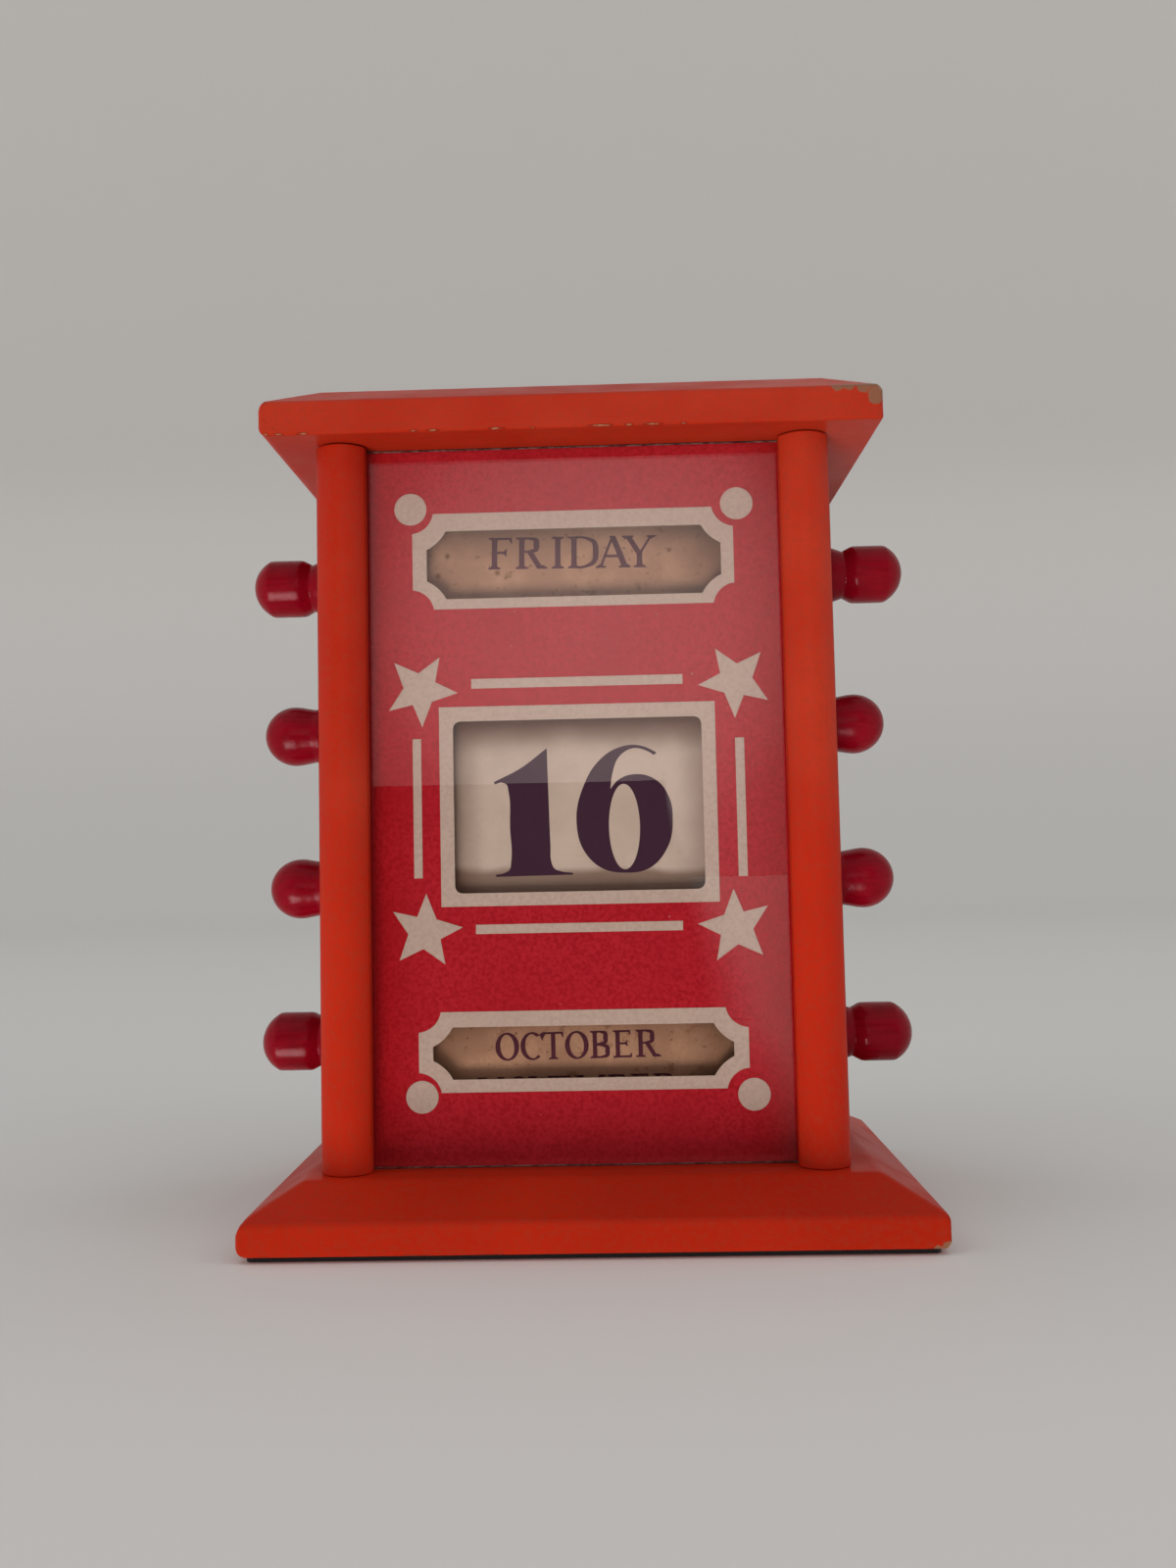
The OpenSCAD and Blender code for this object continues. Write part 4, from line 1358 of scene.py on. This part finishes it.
def make_date_paper():
    paper = aged_paper("date_paper", DATE_PAPER, DATE_PAPER_DULL, spots=0.15)
    shown_paper = aged_paper(
        "date_paper_shown", DATE_PAPER, DATE_PAPER_DULL, spots=0.15, painted_shade=window_shade)
    ink = printing_ink("date_ink", DATE_INK, 0.2)
    dress("date_paper_span", shown_paper)
    dress("upper_paper_roll", paper)
    dress("lower_paper_roll", paper)
    hole = arc_points(SIX_HOLE_PLACE, SIX_HOLE_RADII, 0, 360, CIRCLE_SIDES)[:-1]
    one = filled([curved_outline(ONE)], INK_T)
    six = filled([curved_outline(SIX), hole], INK_T)
    mesh = joined([one, six])
    mesh.transform(Matrix.Translation((0, PAPER_FRONT_Y, 0)))
    add_piece("date_digits", mesh, ink, "housing")


# ---------- CAD nodes that stay ----------

def dress_cad_nodes():
    """The panels, fasteners, felt and turning wood keep their CAD shapes."""
    finishes = (
        (black_felt(), ["base_felt"]),
        (hardboard(), ["back_panel"]),
        (plain_steel(), ["base_screws", "back_nails"]),
        (painted_wood("panel_paint", "z"), ["left_side_panel", "right_side_panel"]),
        (bare_turned_wood(), [
            "cap_dowels", "weekday_drum", "weekday_axle", "month_drum", "month_axle",
            "upper_date_roller", "lower_date_roller",
        ]),
    )
    for material, nodes in finishes:
        for node in nodes:
            dress(node, material)


# ---------- stage, light and camera ----------

# The camera was solved from the photo: its place in mm, its turn as a rotation vector in degrees,
# and its focal length in pixels of the 1200 x 1600 photo.
CAMERA_PLACE = Vector((6.96, -253.5, 71.9))
CAMERA_TURN = (-3.263, -1.226, -1.264)
FOCAL_PX = 1221.25
IMAGE_H_PX = 1600
SENSOR_MM = 36
FLOOR_FRONT_Y = -3.0
FLOOR_BACK_Y = 1.0
SWEEP_R = 0.8
SWEEP_CHORDS = 16
STAGE_W = 8.0
STAGE_H = 4.0
WALL_COLOUR_Z = 0.7
# The dark cards, in mm. Their right edge is blurred, and slants inward from its foot to its top.
DARK_CARD_LEFT = -110
DARK_CARD_FOOT_RIGHT = 57
DARK_CARD_TOP_RIGHT = 29
DARK_CARD_FOOT_BLUR = 32
DARK_CARD_TOP_BLUR = 1
DARK_CARD_TOP = 102
DARK_CARD_Y = -300
LEVEL_CARD_NEAR_Y = -50
LEVEL_CARD_LIFT = 0.6
# The room's light: a level for each half distance from the bright patch's middle, from 0 to 1.
PATCH_DIRECTION = (-0.01, -math.cos(math.radians(11)), math.sin(math.radians(11)))
PATCH_LEVELS = (
    (0, 1.0), (0.05, 0.85), (0.085, 0.56), (0.11, 0.33), (0.17, 0.31), (0.21, 0.14),
    (0.27, 0.16), (0.45, 0.85), (0.6, 1.12), (0.7, 1.2), (1, 1.2),
)
PATCH_TINT = (1.12, 0.93, 0.90)
# The half distances over which the patch's tint gives way to the sky's.
PATCH_EDGE = (0.22, 0.45)
SKY_TINT = (0.98, 1.0, 1.0)
WORLD_SEEN = (0.385, 0.367, 0.35)
ROOM_CARD_HALF_W = 13.0
ROOM_CARD_Y = -20.0
ROOM_CARD_FOOT_Z = -1.2
ROOM_CARD_TOP_Z = 16.0
# Both lamps are in front of the calendar and below its floor, as the daylight came from its foot.
LAMP_TARGET = (0, 0, 0.08)
WINDOW_PLACE = (-0.72, -2.0, -1.6)
WINDOW_SIZE = (1.5, 1.3)
WINDOW_POWER = 46
WINDOW_TINT = (1.0, 0.985, 0.96)
GLINT_PLACE = (-0.9, -2.0, -1.55)
GLINT_SIZE = (1.5, 1.2)
GLINT_POWER = 46


def make_camera():
    turn = Vector(tuple(math.radians(a) for a in CAMERA_TURN))
    into_camera = Matrix.Rotation(turn.length, 3, turn.normalized())
    right, forward, up = (into_camera[i] for i in range(3))
    camera = bpy.data.cameras.new("camera")
    camera.sensor_width = SENSOR_MM
    camera.lens = FOCAL_PX / IMAGE_H_PX * SENSOR_MM
    camera.clip_start = 0.01
    camera.clip_end = 100
    holder = placed("camera", camera)
    pose = Matrix((right, up, -forward)).transposed().to_4x4()
    pose.translation = CAMERA_PLACE * MM
    holder.matrix_world = pose
    bpy.context.scene.camera = holder


def stage_sheet(name, rows, material):
    """Stage surface swept along X from (y, z) points in metres."""
    bm = bmesh.new()
    lines = [[bm.verts.new((x, y, z)) for x in (-STAGE_W / 2, STAGE_W / 2)] for y, z in rows]
    for first, second in zip(lines, lines[1:]):
        bm.faces.new((first[0], first[1], second[1], second[0]))
    mesh = mesh_from(bm, name)
    mesh.shade_smooth()
    mesh.materials.append(material)
    sheet = placed(name, mesh)
    return sheet


def backdrop_cloth():
    """Plain pale cloth, brighter where it is seen than in the light that it throws back."""
    s = Shader("backdrop", Roughness=0.95, Specular_IOR_Level=0.1)
    shown = s.mix(s.ramp(s.axis("Z"), 0.0, WALL_COLOUR_Z), BACKDROP, BACKDROP_WALL)
    s.colour(s.mix(s.seen(), BACKDROP_BOUNCE, shown))
    return s.material


def make_stage():
    rows = [(FLOOR_FRONT_Y, 0), (FLOOR_BACK_Y, 0)]
    for i in range(1, SWEEP_CHORDS + 1):
        angle = math.pi / 2 * i / SWEEP_CHORDS
        rows.append((FLOOR_BACK_Y + SWEEP_R * math.sin(angle), SWEEP_R * (1 - math.cos(angle))))
    rows.append((FLOOR_BACK_Y + SWEEP_R, STAGE_H))
    return stage_sheet("sweep", rows, backdrop_cloth())


def reflected_card(name, left, right, first, last, material):
    """A stage card that only reflections see, between two level edges given as (y, z), in metres."""
    mesh = bpy.data.meshes.new(name)
    corners = [(left, *first), (right, *first), (right, *last), (left, *last)]
    mesh.from_pydata(corners, [], [(0, 1, 2, 3)])
    mesh.materials.append(material)
    card = placed(name, mesh)
    card.visible_camera = False
    card.visible_diffuse = False
    card.visible_shadow = False


def dark_card(name, first, last):
    """A black card between two (y, z) edges in mm: it stands for the dark room before the glass."""
    s = Shader(name, Roughness=1.0, Specular_IOR_Level=0.0)
    s.colour(NEAR_BLACK)
    height = DARK_CARD_TOP * MM
    side = s.ramp(s.axis("Z"), 0.0, height, DARK_CARD_FOOT_RIGHT * MM, DARK_CARD_TOP_RIGHT * MM)
    spread = s.ramp(s.axis("Z"), 0.0, height, DARK_CARD_FOOT_BLUR * MM, DARK_CARD_TOP_BLUR * MM)
    past = s.maths("DIVIDE", s.maths("SUBTRACT", s.axis("X"), side), spread)
    s.surface_between(s.ramp(past, -0.5, 0.5), WHITE)
    right = DARK_CARD_FOOT_RIGHT + DARK_CARD_FOOT_BLUR
    first, last = (tuple(v * MM for v in edge) for edge in (first, last))
    reflected_card(name, DARK_CARD_LEFT * MM, right * MM, first, last, s.material)


def make_dark_cards():
    """One card that stands before the calendar, and one that lies between it and the calendar."""
    dark_card("dark_card_upright", (DARK_CARD_Y, 0), (DARK_CARD_Y, DARK_CARD_TOP))
    dark_card("dark_card_level", (DARK_CARD_Y, LEVEL_CARD_LIFT), (LEVEL_CARD_NEAR_Y, LEVEL_CARD_LIFT))


def area_light(name, place, size, power, tint=WHITE):
    light = bpy.data.lights.new(name, "AREA")
    light.shape = "RECTANGLE"
    light.size, light.size_y = size
    light.energy = power
    light.color = tint
    holder = placed(name, light)
    holder.location = place
    holder.rotation_mode = "QUATERNION"
    holder.rotation_quaternion = (Vector(LAMP_TARGET) - Vector(place)).to_track_quat("-Z", "Y")
    holder.visible_camera = False
    return holder


def shine_past(light, sheet):
    """Lets a light from below the table reach the calendar: the table neither stops it nor shows it."""
    spared = bpy.data.collections.new("spared_by_" + light.name)
    spared.objects.link(sheet)
    spared.collection_objects[0].light_linking.link_state = "EXCLUDE"
    light.light_linking.blocker_collection = spared
    light.light_linking.receiver_collection = spared


def room_glow(n, direction):
    """Tint and level of the room's light in a direction: dim in front, about one soft warm patch."""
    gap = n.node("VectorMath", {0: direction, 1: PATCH_DIRECTION}, operation="DISTANCE")
    half = n.maths("MULTIPLY", gap.outputs["Value"], 0.5)
    level = n.node("FloatCurve", {"Factor": 1.0, "Value": half})
    curve = level.mapping.curves[0]
    for end, place in zip(curve.points, (PATCH_LEVELS[0], PATCH_LEVELS[-1])):
        end.location = place
    for place in PATCH_LEVELS[1:-1]:
        curve.points.new(*place)
    level.mapping.update()
    start, stop = PATCH_EDGE
    away = n.node("MapRange", {"Value": half, "From Min": start, "From Max": stop})
    return n.mix(away.outputs["Result"], PATCH_TINT, SKY_TINT), level.outputs["Value"]


def make_world():
    """The room's light all round; where it is seen, it is a plain pale background instead."""
    world = bpy.data.worlds.new("world")
    bpy.context.scene.world = world
    world.use_nodes = True
    n = Nodes(world.node_tree)
    tint, level = room_glow(n, n.node("TexCoord").outputs["Generated"])
    seen = n.seen()
    background = n.tree.nodes["Background"].inputs
    n.feed(background["Color"], n.mix(seen, tint, WORLD_SEEN))
    n.feed(background["Strength"], n.node("Mix", {0: seen, 2: level, 3: 1.0}).outputs[0])


def make_room_card():
    """A far bright card that only reflections see: the glass and the knobs mirror the patch in it."""
    s = Shader("room_card")
    ahead = s.node("VectorMath", {0: s.coords()}, operation="NORMALIZE").outputs[0]
    tint, level = room_glow(s, ahead)
    s.surface(s.node("Emission", {"Color": tint, "Strength": level}))
    foot, top = (ROOM_CARD_Y, ROOM_CARD_FOOT_Z), (ROOM_CARD_Y, ROOM_CARD_TOP_Z)
    reflected_card("room_card", -ROOM_CARD_HALF_W, ROOM_CARD_HALF_W, foot, top, s.material)


def make_window(sweep):
    """The daylight. Reflections don't show this lamp, as the room card stands for the bright room."""
    window = area_light("window", WINDOW_PLACE, WINDOW_SIZE, WINDOW_POWER, WINDOW_TINT)
    shine_past(window, sweep)
    window.visible_glossy = False
    window.visible_transmission = False


def make_knob_glint(sweep):
    """The window's glint on the lacquered knobs alone: on the glass it would be a hard white patch."""
    glint = area_light("knob_glint", GLINT_PLACE, GLINT_SIZE, GLINT_POWER)
    shine_past(glint, sweep)
    glint.visible_diffuse = False
    knobs = bpy.data.collections.new("knobs_with_glint")
    for thing in bpy.data.objects:
        if "knob" in thing.name and thing.type == "MESH":
            knobs.objects.link(thing)
    glint.light_linking.receiver_collection = knobs


make_camera()
sweep = make_stage()
make_world()
make_window(sweep)
make_dark_cards()
make_room_card()
make_boards()
make_columns()
make_knobs()
make_knob_glint(sweep)
make_card()
make_glass()
make_names()
make_date_paper()
dress_cad_nodes()

bpy.context.scene.view_settings.view_transform = "Standard"
